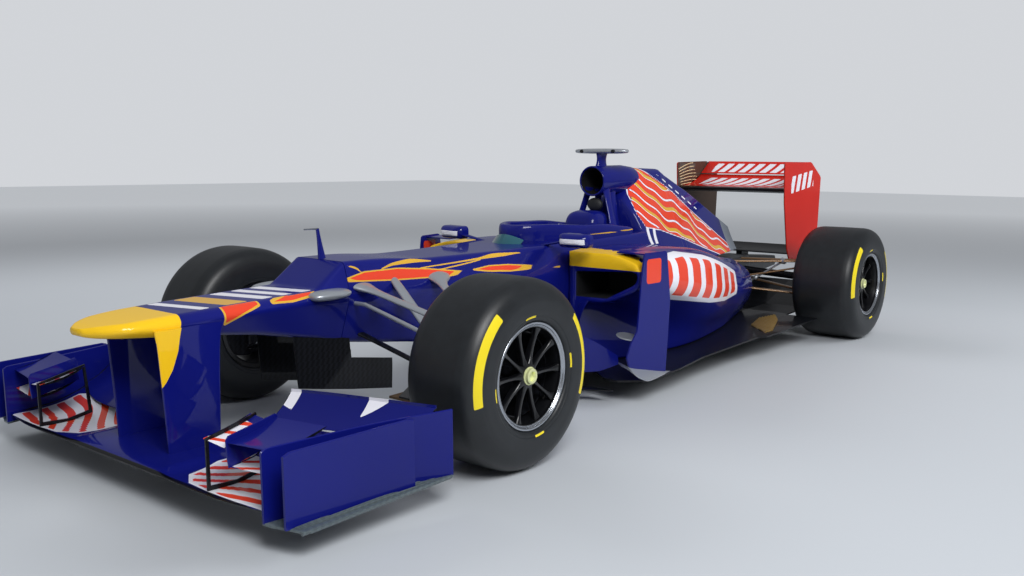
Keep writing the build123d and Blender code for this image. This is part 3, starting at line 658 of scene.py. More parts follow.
def foil(rows: Array, at: Array, half: int = 22) -> Array:
    """Wing sections, hollow side up.

    Along the chord the points gather at both edges as (1 - cos) / 2. Half the thickness is a
    round-nosed curve that is thickest at three tenths of the chord, and the mean line is a
    parabola that sags in its middle.

    Args:
        rows: y, leading edge x and z, chord, angle, sag and thickness.
        at: y of each section.
        half: points along each side.

    Returns:
        (sections, 2 * half, 3) closed rings.
    """
    x, z, chord, angle, sag, thick = [v[:, None] for v in follow(rows, at).T]
    share = (1 - np.cos(np.linspace(0, math.pi, half))) / 2
    body = 2.969 * np.sqrt(share) - 1.26 * share - 3.516 * share**2 + 2.843 * share**3 - 1.036 * share**4
    mean = -4 * sag * share * (1 - share)
    upper, lower = mean + body * thick / 2 + 0.9 * share, mean - body * thick / 2 - 0.9 * share
    along = chord * np.concatenate([share, share[::-1]])
    up = np.concatenate([upper, lower[:, ::-1]], axis=1)
    a = np.radians(angle)
    y = np.broadcast_to(at[:, None], up.shape)
    return np.stack([x - along * np.cos(a) + up * np.sin(a), y, z + along * np.sin(a) + up * np.cos(a)],
                    axis=-1)


def plate(outline: list[tuple[float, float]], y: float, thick: float, bevel: float = 2.0) -> Array:
    """Rings of a flat plate, from its side outline in x and z.

    The four rings are the outline drawn in by the bevel, the outline itself on both faces'
    edges, and the drawn-in one again.

    Args:
        outline: x and z round the plate.
        y: its middle plane.
        thick: thickness.
        bevel: width of the bevel at its edges.

    Returns:
        (4, points, 3) rings.
    """
    edge = np.array(outline, dtype=float)
    middle = edge.mean(axis=0)
    reach = np.linalg.norm(edge - middle, axis=1, keepdims=True)
    inner = edge - (edge - middle) * bevel / reach
    sides = [(inner, -0.5), (edge, -0.5 + bevel / thick), (edge, 0.5 - bevel / thick), (inner, 0.5)]
    return np.stack([np.stack([e[:, 0], np.full(len(e), y + s * thick), e[:, 1]], axis=-1)
                     for e, s in sides])


def sheet(outline: list[tuple[float, float]], line: Array, thick: float, steps: int = 110,
          rises: int = 70) -> Array:
    """Rings of a thin sheet: a side outline bent to a line in plan.

    At each station along x the outline gives a lower and an upper edge, and the points between
    them stand in equal shares of the height. Each ring runs up one face and down the other.

    Args:
        outline: x and z round the sheet.
        line: rows of x and y that the sheet follows.
        thick: thickness.
        steps: stations along x.
        rises: points up each face.

    Returns:
        (steps, 2 * rises, 3) rings.
    """
    edge = np.array(outline, dtype=float)
    xs = np.linspace(edge[:, 0].max() - 0.5, edge[:, 0].min() + 0.5, steps)
    closed = np.vstack([edge, edge[:1]])
    x0, x1 = closed[:-1, 0][:, None], closed[1:, 0][:, None]
    z0, z1 = closed[:-1, 1][:, None], closed[1:, 1][:, None]
    share = (xs - x0) / np.where(np.abs(x1 - x0) < 1e-6, 1e-6, x1 - x0)
    hits = np.where((share >= 0) & (share <= 1), z0 + share * (z1 - z0), np.nan)
    low, high = np.nanmin(hits, axis=0), np.nanmax(hits, axis=0)
    z = low + (high - low) * np.linspace(0, 1, rises)[:, None]
    y = np.broadcast_to(follow(line[np.argsort(line[:, 0])], xs)[:, 0], z.shape)
    face = np.stack([np.broadcast_to(xs, z.shape), y, z], axis=-1)
    return np.concatenate([face, (face + [0, thick, 0])[::-1]], axis=0).transpose(1, 0, 2)


def tube(path: Array, width: Array, height: Array, around: int = 14) -> Array:
    """Rings of an oval bar along a path.

    At each point an ellipse stands square to the path, its width along the car and its height
    square to both.

    Args:
        path: (n, 3) middle line.
        width: one width, or one for each point.
        height: one height, or one for each point.
        around: points of a ring.

    Returns:
        (n, around, 3) rings.
    """
    ahead = np.gradient(path, axis=0)
    ahead /= np.linalg.norm(ahead, axis=1, keepdims=True)
    side = np.array([1.0, 0, 0]) - ahead * ahead[:, :1]
    side /= np.maximum(np.linalg.norm(side, axis=1, keepdims=True), 1e-9)
    up = np.cross(ahead, side)
    t = turns(around)[None, :, None]
    wide = side[:, None] * np.cos(t) * np.asarray(width).reshape(-1, 1, 1)
    tall = up[:, None] * np.sin(t) * np.asarray(height).reshape(-1, 1, 1)
    return path[:, None] + wide / 2 + tall / 2


@dataclass
class Wheel:
    """A slick tyre on its forged rim, turned about the axle.

    Distances are from the tyre's middle plane, positive outwards, and from the axle.
    """

    name: str
    axle_x: float
    outer_y: float
    width: float
    side: int
    face: float
    spokes: int = 10
    parts: int = 240

    def turned(self, profile: Array) -> Array:
        """Rings of a profile of (offset, radius) turned about the axle.

        Args:
            profile: (n, 2) offsets outwards from the middle plane and radii.

        Returns:
            (parts, n, 3) grid.
        """
        t = turns(self.parts)[:, None]
        x = self.axle_x + profile[:, 1] * np.cos(t)
        y = np.broadcast_to(self.side * (self.outer_y - self.width / 2 + profile[:, 0]), x.shape)
        return np.stack([x, y, AXLE_Z + profile[:, 1] * np.sin(t)], axis=-1)

    def smooth(self, points: list[tuple[float, float]], steps: int) -> Array:
        """A profile drawn smoothly through its points, by their distance along it.

        Args:
            points: offsets and radii.
            steps: number of points wanted.

        Returns:
            (steps, 2) profile.
        """
        rows = np.array(points, dtype=float)
        length = np.concatenate([[0], np.cumsum(np.linalg.norm(np.diff(rows, axis=0), axis=1))])
        return follow(np.column_stack([length, rows]), np.linspace(0, length[-1], steps))

    def tyre(self) -> None:
        """Tyre with its bead, a step on the sidewall, round shoulders and a flat tread."""
        h = self.width / 2
        wall = [
            (h - 19.5, 170), (h - 19.5, 184.4), (h - 10, 188), (h - 4, 196), (h - 3.5, 204), (h - 1.5, 206),
            (h, 226), (h, 250), (h - 2, 272), (h - 5, 284), (h - 9, 294), (h - 16, 305), (h - 30, 317),
            (h - 48, 325), (h - 75, 329), (0, 330),
        ]
        right = self.smooth(wall, 110)
        left = right[-2::-1] * [-1, 1]
        shell = Shell(tilted=False)
        shell.grid(self.turned(np.vstack([right, left])), around=True, along=True)
        shell.build(f"tyre_{self.name}_skin", [RUBBER], [f"tyre_{self.name}"], f"wheel_{self.name}",
                    "tyre_rubber", marks=self.arcs)

    def arcs(self, spots: Array) -> Marks:
        """Yellow arcs and ticks on the outer sidewall.

        Args:
            spots: points in the world frame.

        Returns:
            Distance above zero inside each mark, by its name.
        """
        x, z = spots[:, 0] - self.axle_x, spots[:, 2] - AXLE_Z
        r, turn = np.hypot(x, z), (np.degrees(np.arctan2(z, x)) + 40) % 360 - 40
        out = np.where(self.side * spots[:, 1] > self.outer_y - 40, 0.0, -50.0)
        arc = np.minimum(16 - np.abs(r - 285), (31 - np.abs(turn - 20)) * 4.5)
        far = np.minimum(14 - np.abs(r - 283), (31 - np.abs(turn - 171)) * 4.5)
        tick = np.minimum(4 - np.abs(r - 204), (9 - np.abs((turn % 90) - 84)) * 3.6)
        return {"yellow": np.maximum(np.maximum(arc, far), tick) + out}

    def rim(self) -> None:
        """Deep barrel between two lips, with tapered spokes, a hub and the wheel nut."""
        e = self.width / 2 - 12
        shell = Shell(tilted=False)
        lip = [(e - 8, 184), (e - 1.5, 184), (e, 182), (e, 178), (e - 1, 176), (e - 5, 174), (e - 7, 171.5),
               (e - 6, 169.5), (e - 7, 167.5), (e - 14, 166)]
        well = [(e - 14, 166), (e - 24, 163), (e - 40, 160), (e - 80, 159), (20 - e, 159), (6 - e, 162),
                (-e, 168), (-e, 184), (8 - e, 184), (8 - e, 165), (e - 8, 165), (e - 8, 184)]
        shell.grid(self.turned(self.smooth(lip, 22)), along=True, slot=1)
        shell.grid(self.turned(np.array(well, dtype=float)), along=True)
        for turn in np.arange(self.spokes) * 2 * math.pi / self.spokes:
            self.spoke(shell, float(turn))
        f = self.face
        hub = [(f - 30, 1), (f - 30, 34), (f - 6, 40), (f + 16, 42), (f + 24, 40), (f + 26, 36),
               (f + 26, 1)]
        shell.grid(self.turned(np.array(hub, dtype=float)), along=True)
        nut = [(f + 24, 31), (f + 29, 31), (f + 31, 27), (f + 40, 26), (f + 42, 23), (f + 41, 17),
               (f + 30, 14), (f + 30, 1)]
        shell.grid(self.turned(np.array(nut, dtype=float)), along=True, slot=2)
        shell.build(f"rim_{self.name}_skin", [MAGNESIUM, MACHINED, NUT_METAL], [f"rim_{self.name}"],
                    f"wheel_{self.name}", "magnesium_rim", sharp=32)

    def spoke(self, shell: Shell, turn: float) -> None:
        """One spoke: a bar that flares where it meets the hub and the barrel.

        Across it the section is a rounded box whose half width goes as 6.5 + 9 (2 s - 1)^4 with
        the share s from hub to barrel, and it dishes inwards by a parabola.

        Args:
            shell: where it goes.
            turn: its angle about the axle.
        """
        s = np.linspace(0, 1, 14)
        radius = 34 + s * 129
        wide = 6.5 + 9 * (2 * s - 1)**4
        deep = 10.0 + 4 * (1 - s)
        out = self.face + 12 - 16 * 4 * s * (1 - s) * 0.5 + 6 * s
        t = turns(16)
        cx = np.sign(np.cos(t)) * np.abs(np.cos(t))**0.6
        cz = np.sign(np.sin(t)) * np.abs(np.sin(t))**0.6
        off = cx * wide[:, None]
        y = self.side * (self.outer_y - self.width / 2 + out[:, None] + cz * deep[:, None])
        x = self.axle_x + radius[:, None] * math.cos(turn) - off * math.sin(turn)
        z = AXLE_Z + radius[:, None] * math.sin(turn) + off * math.cos(turn)
        shell.closed(np.stack([x, y, z], axis=-1))

    def build(self) -> None:
        """Builds the tyre and the rim."""
        self.tyre()
        self.rim()


@dataclass
class Nose:
    """Low nose cone with its step, and the two pillars that carry the front wing.

    The rows and the joint are those of hull_rings.
    """

    rows: Array = table([
        (1088, 20, 531, 30, 520, 20, 512), (1077, 42, 533, 54, 520, 42, 505),
        (1046, 76, 538, 92, 520, 76, 500),
        (980, 116, 543, 136, 520, 112, 494), (860, 134, 549, 158, 517, 130, 482),
        (560, 140, 555, 166, 528, 122, 440), (278, 134, 560, 168, 532, 112, 380)])
    joint: tuple[float, ...] = (152, 136, 649, 170, 533, 105, 346)
    step_x: float = 278.0
    pillar_y: float = 150.0
    pillar_thick: float = 16.0

    def cone(self) -> None:
        """Cone, with stations gathered at the tip, and the straight rise of the step behind it."""
        tip = self.rows[0, 0]
        stations = tip - np.linspace(0, math.sqrt(tip - self.step_x), 200)**2
        key = self.rows.copy()
        key[:, 0] = tip - np.sqrt(tip - key[:, 0])
        front = hull_rings(key, tip - np.sqrt(tip - stations), (22, 46, 24), 8, 19)
        front[..., 0] = stations[:, None]
        end = np.array([self.rows[-1], self.joint])
        ramp = hull_rings(end, np.linspace(self.step_x, self.joint[0], 36)[1:], (22, 46, 18), 8, 19)
        rings = np.concatenate([dome(front[0], 3.0)[::-1], front[1:], ramp])
        soft = rings.copy()
        for _ in range(4):
            soft[195:-1] = (rings[194:-2] + 2 * rings[195:-1] + rings[196:]) / 4
            rings[195:-1] = soft[195:-1]
        shell = Shell()
        shell.grid(rings, around=True)
        shell.lid(rings[-1])
        shell.build("nose_skin", [LACQUER], ["nose_cone"], slot="blue_paint", marks=self.livery)

    def pillars(self) -> None:
        """Two wing pillars: blades whose thickness is rounded at both edges."""
        front = np.array([(510, 920), (470, 914), (380, 908), (240, 900), (140, 896), (92, 894)],
                         dtype=float)
        rear = np.array([(510, 672), (470, 688), (380, 696), (240, 702), (140, 706), (112, 707)],
                        dtype=float)
        share = np.linspace(0, 1, 110)
        z = 512 - share * 398
        lead, trail = follow(front[::-1], z)[:, 0], follow(rear[::-1], z)[:, 0]
        t = turns(160)
        along = np.sign(np.cos(t)) * np.abs(np.cos(t))**0.8
        thick = np.sign(np.sin(t)) * np.abs(np.sin(t))**0.55
        x = (lead + trail)[:, None] / 2 + along * (lead - trail)[:, None] / 2
        y = self.pillar_y + thick * self.pillar_thick / 2 + np.zeros_like(x)
        shell = Shell()
        shell.closed(np.stack([x, y, np.broadcast_to(z[:, None], x.shape)], axis=-1))
        shell.mirrored()
        shell.build("nose_pillars", [LACQUER], ["nose_cone"], slot="blue_paint", marks=self.livery)

    def livery(self, p: Array) -> Marks:
        """Yellow tip, bands across the top and wedges along the side.

        Args:
            p: points in the body frame.

        Returns:
            Distance above zero inside each mark, by its name.
        """
        x, y, z = p[:, 0], np.abs(p[:, 1]), p[:, 2]
        tip = [(1130, 640), (1130, 470), (960, 470), (905, 332), (890, 350), (868, 384), (846, 440),
               (838, 480), (826, 530), (822, 560), (830, 640)]
        yellow = np.maximum(inside(x, z, tip), np.minimum(x - 826, z - 545))
        top = np.where(z > 547, 0.0, -30.0)
        slant = x + 0.22 * p[:, 1]
        gold_band = np.minimum(44 - np.abs(slant - 622), 118 - y) + top
        white = np.maximum.reduce([20 - np.abs(slant - 742), 26 - np.abs(slant - 500),
                                   22 - np.abs(slant - 418), 24 - np.abs(slant - 335)])
        white = np.minimum(white, 118 - y) + top
        front = inside(x, z, [(672, 575), (668, 500), (600, 528), (537, 546), (537, 575)])
        rear = inside(x, z, [(480, 546), (400, 542), (318, 549), (292, 560), (400, 559)])
        wedge = np.maximum(front, rear) - np.where(y > 128, 0.0, 40.0)
        yellow = np.minimum(yellow, np.maximum(p[:, 1] + np.where(z > 478, 900.0, 0.0) - 151, z - 478))
        return {"yellow": yellow, "gold": np.maximum(wedge + 7, gold_band), "orange": wedge, "white": white}

    def build(self) -> None:
        """Builds the cone and its pillars."""
        self.cone()
        self.pillars()


@dataclass
class Tub:
    """Carbon tub with its open cockpit, the collar round it and the hump behind.

    The rows and the hollow are those of hull_rings. Each rim row holds the share of the way
    round, x and half width, and each crest row x and height.
    """

    rows: Array = table([
        (149, 136, 650, 170, 533, 105, 345), (-20, 142, 645, 182, 523, 113, 318),
        (-300, 149, 624, 202, 508, 127, 273), (-750, 188, 619, 245, 485, 175, 130),
        (-1060, 225, 620, 262, 470, 215, 8), (-1810, 225, 620, 262, 470, 215, 8)])
    hollow: Array = table([
        (-350, 100, 590, 150, 500, 90, 320), (-840, 145, 596, 195, 470, 130, 190),
        (-1000, 170, 600, 205, 470, 160, 100), (-1060, 183, 600, 220, 470, 175, 62),
        (-1640, 183, 600, 220, 470, 175, 62)])
    rim_outer: Array = table([
        (0, -948, 0), (0.06, -960, 40), (0.12, -990, 80), (0.2, -1040, 118), (0.29, -1110, 152),
        (0.38, -1190, 186), (0.48, -1290, 206), (0.66, -1500, 214), (0.82, -1700, 210), (1, -1700, 0)])
    rim_inner: Array = table([
        (0, -1004, 0), (0.06, -1012, 34), (0.12, -1040, 74), (0.2, -1090, 110), (0.29, -1160, 136),
        (0.42, -1260, 152), (0.66, -1450, 152), (0.76, -1510, 130), (0.88, -1540, 80), (1, -1548, 0)])
    crest: Array = table([
        (-1700, 654), (-1600, 666), (-1450, 684), (-1290, 690), (-1080, 702), (-988, 701), (-962, 686),
        (-948, 672)])

    def hole(self, x: Array) -> Array:
        """Half width of the cockpit's opening at each station.

        Args:
            x: stations in the body frame.

        Returns:
            Zero ahead of and behind the opening.
        """
        order = np.argsort(self.rim_inner[:, 1])
        line = self.rim_inner[order][:, 1:]
        return np.where((x > line[0, 0]) & (x < line[-1, 0]), np.interp(x, line[:, 0], line[:, 1]), 0.0)

    def body(self) -> None:
        """Outer skin with the opening cut out of its top, and the hollow inside it."""
        stations = np.unique(np.concatenate([
            np.linspace(149, -980, 260), np.linspace(-980, -1560, 130),
            np.linspace(-1560, -1810, 30)]))[::-1]
        outer = hull_rings(self.rows, stations, (26, 70, 20), 9, 25)
        half = outer.shape[1] // 2
        ring = np.roll(outer, half // 2, axis=1)
        start = int(np.argmin(np.abs(ring[0, :, 1]) - ring[0, :, 2] * 10))
        ring = np.roll(ring, -start, axis=1)
        ring = np.concatenate([ring, ring[:, :1]], axis=1)
        edge = self.hole(stations)[:, None]
        flat = ring[..., 2] > ring[..., 2].max(axis=1, keepdims=True) - 0.5
        sign = np.where(ring[..., 1] >= 0, 1.0, -1.0)
        sign[:, 0], sign[:, -1] = sign[:, 1], sign[:, -2]
        ring[..., 1] = np.where(flat, sign * np.maximum(np.abs(ring[..., 1]), edge), ring[..., 1])
        shell = Shell()
        shell.grid(ring)
        shell.lid(outer[0])
        shell.lid(outer[-1])
        inner_x = np.unique(np.concatenate([np.linspace(-350, -990, 12),
                                            stations[(stations < -990) & (stations > -1640)]]))[::-1]
        inner = hull_rings(self.hollow, inner_x, (30, 60, 30), 5, 5)
        first = int(np.argmin(np.abs(inner[0, :, 1]) - inner[0, :, 2] * 10))
        inner = np.roll(inner, -first, axis=1)
        inner = np.concatenate([inner, inner[:, :1]], axis=1)
        room = self.hole(inner_x)[:, None]
        top = inner[..., 2] > inner[..., 2].max(axis=1, keepdims=True) - 0.5
        way = np.where(inner[..., 1] >= 0, 1.0, -1.0)
        way[:, 0], way[:, -1] = way[:, 1], way[:, -2]
        inner[..., 1] = np.where(top, way * np.maximum(np.abs(inner[..., 1]), room), inner[..., 1])
        shell.grid(inner, slot=1)
        shell.lid(inner[0, :-1], 1)
        shell.lid(inner[-1, :-1], 1)
        for s in (0, -1):
            rise = np.linspace(600, 620, 3)[:, None]
            run = room[:, 0] > 1
            size = (3, int(run.sum()))
            x, y = np.broadcast_to(inner_x[run], size), np.broadcast_to(inner[run][:, s, 1], size)
            shell.grid(np.stack([x, y, np.broadcast_to(rise, x.shape)], axis=-1), slot=1)
        shell.build("tub_skin", [LACQUER, INSIDE], ["monocoque"], slot="blue_paint", marks=self.livery)

    def collar(self) -> None:
        """Padded-looking collar: a rounded band between its two outlines.

        Across it a point goes from the outer foot up, over the crest and down to the inner
        foot, by a table of shares of the width and of the height.
        """
        t = np.linspace(0, 1, 120)
        outer, inner = follow(self.rim_outer, t), follow(self.rim_inner, t)
        shares = np.array([
            (0, 0, 0), (0.12, 0.0, 0.45), (0.2, 0.015, 0.7), (0.28, 0.07, 0.88), (0.36, 0.18, 0.97),
            (0.5, 0.42, 1.0),
            (0.62, 0.7, 1.0), (0.72, 0.9, 0.95), (0.8, 0.98, 0.8), (0.9, 1.0, 0.3), (1, 1.0, -0.5)],
            dtype=float)
        wide, tall = follow(shares, np.linspace(0, 1, 24)).T
        xy = outer[:, None] * (1 - wide[:, None]) + inner[:, None] * wide[:, None]
        high = follow(self.crest, xy[..., 0].ravel())[:, 0].reshape(xy.shape[:2])
        rings = np.concatenate([xy, (619 + (high - 619) * tall)[..., None]], axis=-1)
        shell = Shell()
        shell.grid(rings)
        shell.mirrored()
        x = np.linspace(-1512, -1700, 36)
        shape = np.array([(-1700, 722, 66), (-1650, 730, 88), (-1600, 733, 100), (-1560, 727, 102),
                          (-1530, 708, 92), (-1512, 672, 74)], dtype=float)
        rise, flat = follow(shape, x).T
        foot = np.full_like(x, 612.0)
        corners = np.stack([np.stack([flat, foot], -1), np.stack([flat - 6, rise], -1),
                            np.stack([6 - flat, rise], -1), np.stack([-flat, foot], -1)], axis=1)
        shell.closed(across(x, rounded(corners, np.array([4, 90, 90, 4]), 14, 6)))
        shell.build("collar_skin", [LACQUER], ["cockpit_surround"], slot="blue_paint", sharp=50,
                    marks=self.trim)

    def rest(self) -> None:
        """Head rest: a soft horseshoe inside the collar, behind the driver's head."""
        t = np.linspace(0.5, 1, 40)
        line = follow(self.rim_inner, t)
        half = np.concatenate([line, (line * [1, -1])[-2::-1]])
        inward = half - np.array([-1330.0, 0])
        inward /= np.linalg.norm(inward, axis=1, keepdims=True)
        centre = half - inward * 21
        swell = np.sin(np.linspace(0.06, math.pi - 0.06, len(half)))**0.35
        a = turns(18)[None, :]
        out = np.cos(a) * 18 * swell[:, None]
        x = centre[:, :1] + inward[:, :1] * out
        y = centre[:, 1:] + inward[:, 1:] * out
        z = 628 + np.sin(a) * 34 * swell[:, None]
        shell = Shell()
        shell.closed(np.stack([x, y, z], axis=-1))
        shell.build("head_rest", [PADDING], [], sharp=80)

    def screen(self) -> None:
        """Low wind deflector ahead of the collar: a thin band bent round its front."""
        t = np.linspace(-1, 1, 40)
        foot = np.stack([-900 - 40 * t**2, 84 * t], axis=-1)
        head = foot + [-26, 0]
        shell = Shell()
        crest = 662 - 26 * t**2
        base = np.full_like(t, 616.0)
        path = np.stack([np.column_stack([foot, base]), np.column_stack([head, crest]),
                         np.column_stack([head - [4, 0], crest]), np.column_stack([foot - [4, 0], base])],
                         axis=1)
        shell.closed(path)
        shell.build("wind_screen", [SMOKED], [], sharp=60)

    def livery(self, p: Array) -> Marks:
        """Wedges and thin lines along the sides.

        Args:
            p: points in the body frame.

        Returns:
            Distance above zero inside each mark, by its name.
        """
        x, z = p[:, 0], p[:, 2]
        low = np.where(np.abs(p[:, 1]) > 128, 0.0, -60.0)
        first = inside(x, z, [(176, 583), (64, 603), (-100, 600), (-260, 582), (-446, 554), (-360, 548),
                              (-79, 563)])
        second = inside(x, z, [(-500, 556), (-593, 563), (-700, 558), (-814, 545), (-880, 536), (-800, 532),
                               (-704, 535), (-587, 545)])
        wedge = np.maximum(first, second) + low
        line = np.maximum.reduce([
            stripe(-x, z, [(20, 608, 5), (90, 620, 12), (170, 622, 16), (290, 612, 5)]),
            stripe(-x, z, [(220, 591, 5), (400, 594, 6), (540, 598, 8), (640, 603, 17), (800, 602, 5)]),
            stripe(-x, z, [(300, 574, 5), (480, 586, 6), (560, 594, 5)]),
            stripe(-x, z, [(830, 541, 12), (920, 533, 10), (1030, 521, 10)]),
            stripe(-x, z, [(-138, 634, 4), (-100, 622, 9), (-74, 600, 5)])])
        return {"gold": np.maximum(wedge + 5, line + low), "orange": wedge}

    def trim(self, p: Array) -> Marks:
        """One thin gold line round the collar's foot."""
        return {"gold": np.minimum(3.5 - np.abs(p[:, 2] - 640), -1000 - p[:, 0])}

    def build(self) -> None:
        """Builds the tub, its collar, the head rest and the screen."""
        self.body()
        self.collar()
        self.rest()
        self.screen()


@dataclass
class Pod:
    """Side pod with its undercut, a rolled lip round the inlet and the duct behind it.

    Each row holds x, inner and outer y, top z, shoulder drop, overhang z, under y and z, neck
    y and z, and foot y.
    """

    rows: Array = table([
        (-1081, 262, 652, 588, 34, 440, 470, 366, 294, 362, 285),
        (-1180, 262, 662, 592, 34, 430, 470, 360, 310, 350, 300),
        (-1400, 262, 660, 590, 36, 385, 530, 325, 412, 250, 400),
        (-1805, 262, 625, 556, 42, 300, 560, 230, 500, 150, 470),
        (-2332, 236, 500, 460, 45, 220, 455, 170, 420, 110, 400),
        (-2441, 236, 474, 440, 50, 205, 430, 160, 395, 105, 370),
        (-2930, 140, 300, 370, 60, 150, 268, 120, 245, 85, 230)])
    inlet: tuple[tuple[float, float], ...] = (
        (300, 384), (340, 385), (400, 387), (465, 388), (600, 456), (622, 474), (628, 505), (600, 518),
        (300, 500))
    inlet_radii: tuple[float, ...] = (3, 3, 3, 3, 22, 20, 20, 24, 12)
    radii: tuple[float, ...] = (2, 12, 60, 60, 40, 70, 60, 60, 2)
    foot_z: float = 58.5
    duct: float = 270.0

    def rings(self, stations: Array) -> Array:
        """Outer rings at stations along x.

        Args:
            stations: x of each ring, falling.

        Returns:
            (stations, points, 3) rings.
        """
        key = self.rows.copy()
        key[:, 0] = -key[:, 0]
        inner, outer, top, drop, over, under, under_z, neck, neck_z, foot = follow(key, -stations).T
        low = np.full_like(inner, self.foot_z)
        corners = np.stack([np.stack(pair, -1) for pair in (
            (inner, low), (foot, low), (neck, neck_z), (under, under_z), (outer - 20, over),
            (outer, over + 60), (outer - 30, top - drop), (outer - 150, top), (inner, top))], axis=1)
        return across(stations, rounded(corners, np.array(self.radii), 8, 12))

    def build(self, side: int) -> None:
        """Builds one pod, and its mirror image for the right.

        Args:
            side: 1 for the left pod, -1 for the right.
        """
        outer = self.rings(np.concatenate([np.linspace(-1081, -1180, 24), np.linspace(-1186, -2930, 230)]))
        corners = rounded(np.array([self.inlet], dtype=float), np.array(self.inlet_radii), 8, 12)
        hole = across(np.array([0.0]), corners)[0]
        share = np.linspace(0, 1, 16)[1:, None, None]
        swell = np.array([8, 0, 0]) * np.sin(share * math.pi)**0.5
        face = outer[0] * (1 - share) + (hole + [self.rows[0, 0], 0, 0]) * share + swell
        back = np.linspace(0, 1, 12)[1:, None, None]
        deep = face[-1] + back * np.array([-self.duct, 0, 0])
        shell = Shell()
        shell.grid(np.concatenate([outer[::-1], face]), around=True)
        shell.grid(np.concatenate([face[-1:], deep]), around=True, slot=1)
        shell.lid(deep[-1], 1)
        shell.lid(outer[-1])
        shell.points = [p * [1, side, 1] for p in shell.points]
        name = "left" if side > 0 else "right"
        shell.build(f"pod_{name}_skin", [LACQUER, INSIDE], [f"sidepod_{name}"], slot="blue_paint",
                    marks=self.livery)

    def livery(self, p: Array) -> Marks:
        """White panel with red stripes behind the vane, and a yellow lip over the inlet.

        Args:
            p: points in the body frame.

        Returns:
            Distance above zero inside each mark, by its name.
        """
        x, y, z = p[:, 0], np.abs(p[:, 1]), p[:, 2]
        lip = np.minimum(x + 1218 - (y - 300) * 0.25 + 16 * np.sin(y / 9) * np.clip((y - 330) / 90, 0, 1),
                         z - 522)
        panel = inside(x, z, [(-1240, 572), (-1500, 570), (-1776, 528), (-2124, 438), (-2300, 388),
                              (-2290, 262), (-2050, 262), (-1805, 288), (-1365, 362),
                              (-1240, 380)]) + np.where(y > 380, 0.0, -200.0)
        slant = 48 - np.abs((x * 0.97 + z * 0.24 + 5010) % 152 - 76)
        red = np.minimum(slant, panel - 22)
        return {"yellow": lip, "white": panel, "orange": red}


@dataclass
class Cover:
    """Engine cover from behind the hoop down to its narrow tail, with rows as for hull_rings."""

    rows: Array = table([
        (-1815, 60, 800, 190, 660, 235, 480), (-1989, 42, 941, 175, 640, 235, 470),
        (-2261, 26, 928, 150, 600, 220, 440), (-2309, 24, 902, 146, 596, 218, 438),
        (-2600, 18, 790, 105, 540, 190, 405), (-3150, 9, 548, 45, 465, 80, 400)])

    def build(self) -> None:
        """Builds the cover, straight between its rows as on the real one, with soft joints."""
        stations = np.unique(np.concatenate([np.linspace(-1815, -3150, 196), self.rows[:, 0]]))[::-1]
        order = self.rows[::-1]
        values = np.column_stack([np.interp(stations, order[:, 0], order[:, k]) for k in range(1, 7)])
        straight = np.column_stack([stations, values])
        soft = straight.copy()
        for _ in range(12):
            soft[1:-1, 1:] = (soft[:-2, 1:] + 2 * soft[1:-1, 1:] + soft[2:, 1:]) / 4
        rings = hull_rings(soft, stations, (14, 110, 60), 34, 36)
        shell = Shell()
        shell.grid(np.concatenate([dome(rings[0], 22.0)[::-1], rings[1:]]), around=True)
        shell.lid(rings[-1])
        shell.build("cover_skin", [LACQUER], ["engine_cover"], slot="blue_paint", marks=self.livery)

    def livery(self, p: Array) -> Marks:
        """Orange flank with white slanting bars, a navy spine and a grey tail.

        Args:
            p: points in the body frame.

        Returns:
            Distance above zero inside each mark, by its name.
        """
        x, z = p[:, 0], p[:, 2]
        flank = inside(x, z, [(-1870, 640), (-1840, 705), (-1852, 752), (-1862, 805), (-1905, 870),
                              (-1975, 960),
                              (-2368, 790), (-2542, 692), (-2845, 542), (-3010, 455), (-3010, 395),
                              (-2866, 388), (-2240, 560), (-2034, 612)])
        flow = z - 0.46 * (x + 1900) + 20 * np.sin(x / 90) + 9 * np.sin(x / 37 + z / 70) + 5000
        lines = np.minimum(6 - np.abs(flow % 62 - 31), flank - 5)
        glow = np.minimum(11 - np.abs((flow + 22) % 124 - 62), flank - 9)
        bars = np.maximum(15 - np.abs(x + 1876 + 0.006 * (z - 600)**2),
                          15 - np.abs(x + 1940 + 0.006 * (z - 575)**2))
        bars = np.minimum(bars, 44 - np.abs(z - 590))
        flecks = np.minimum(6 - np.abs((z - 0.46 * (x + 1900)) % 34 - 17),
                            26 - np.abs((x + 0.4 * z) % 90 - 45))
        flecks = np.minimum(flecks, inside(x, z, [(-2190, 905), (-2300, 880), (-2700, 690), (-2640, 672)]))
        return {"gold": glow, "orange": np.minimum(flank, np.minimum(-lines, -glow)),
                "white": np.maximum.reduce([lines, bars, flecks, np.minimum(flank + 6, -flank)]),
                "grey": -3020 - x}


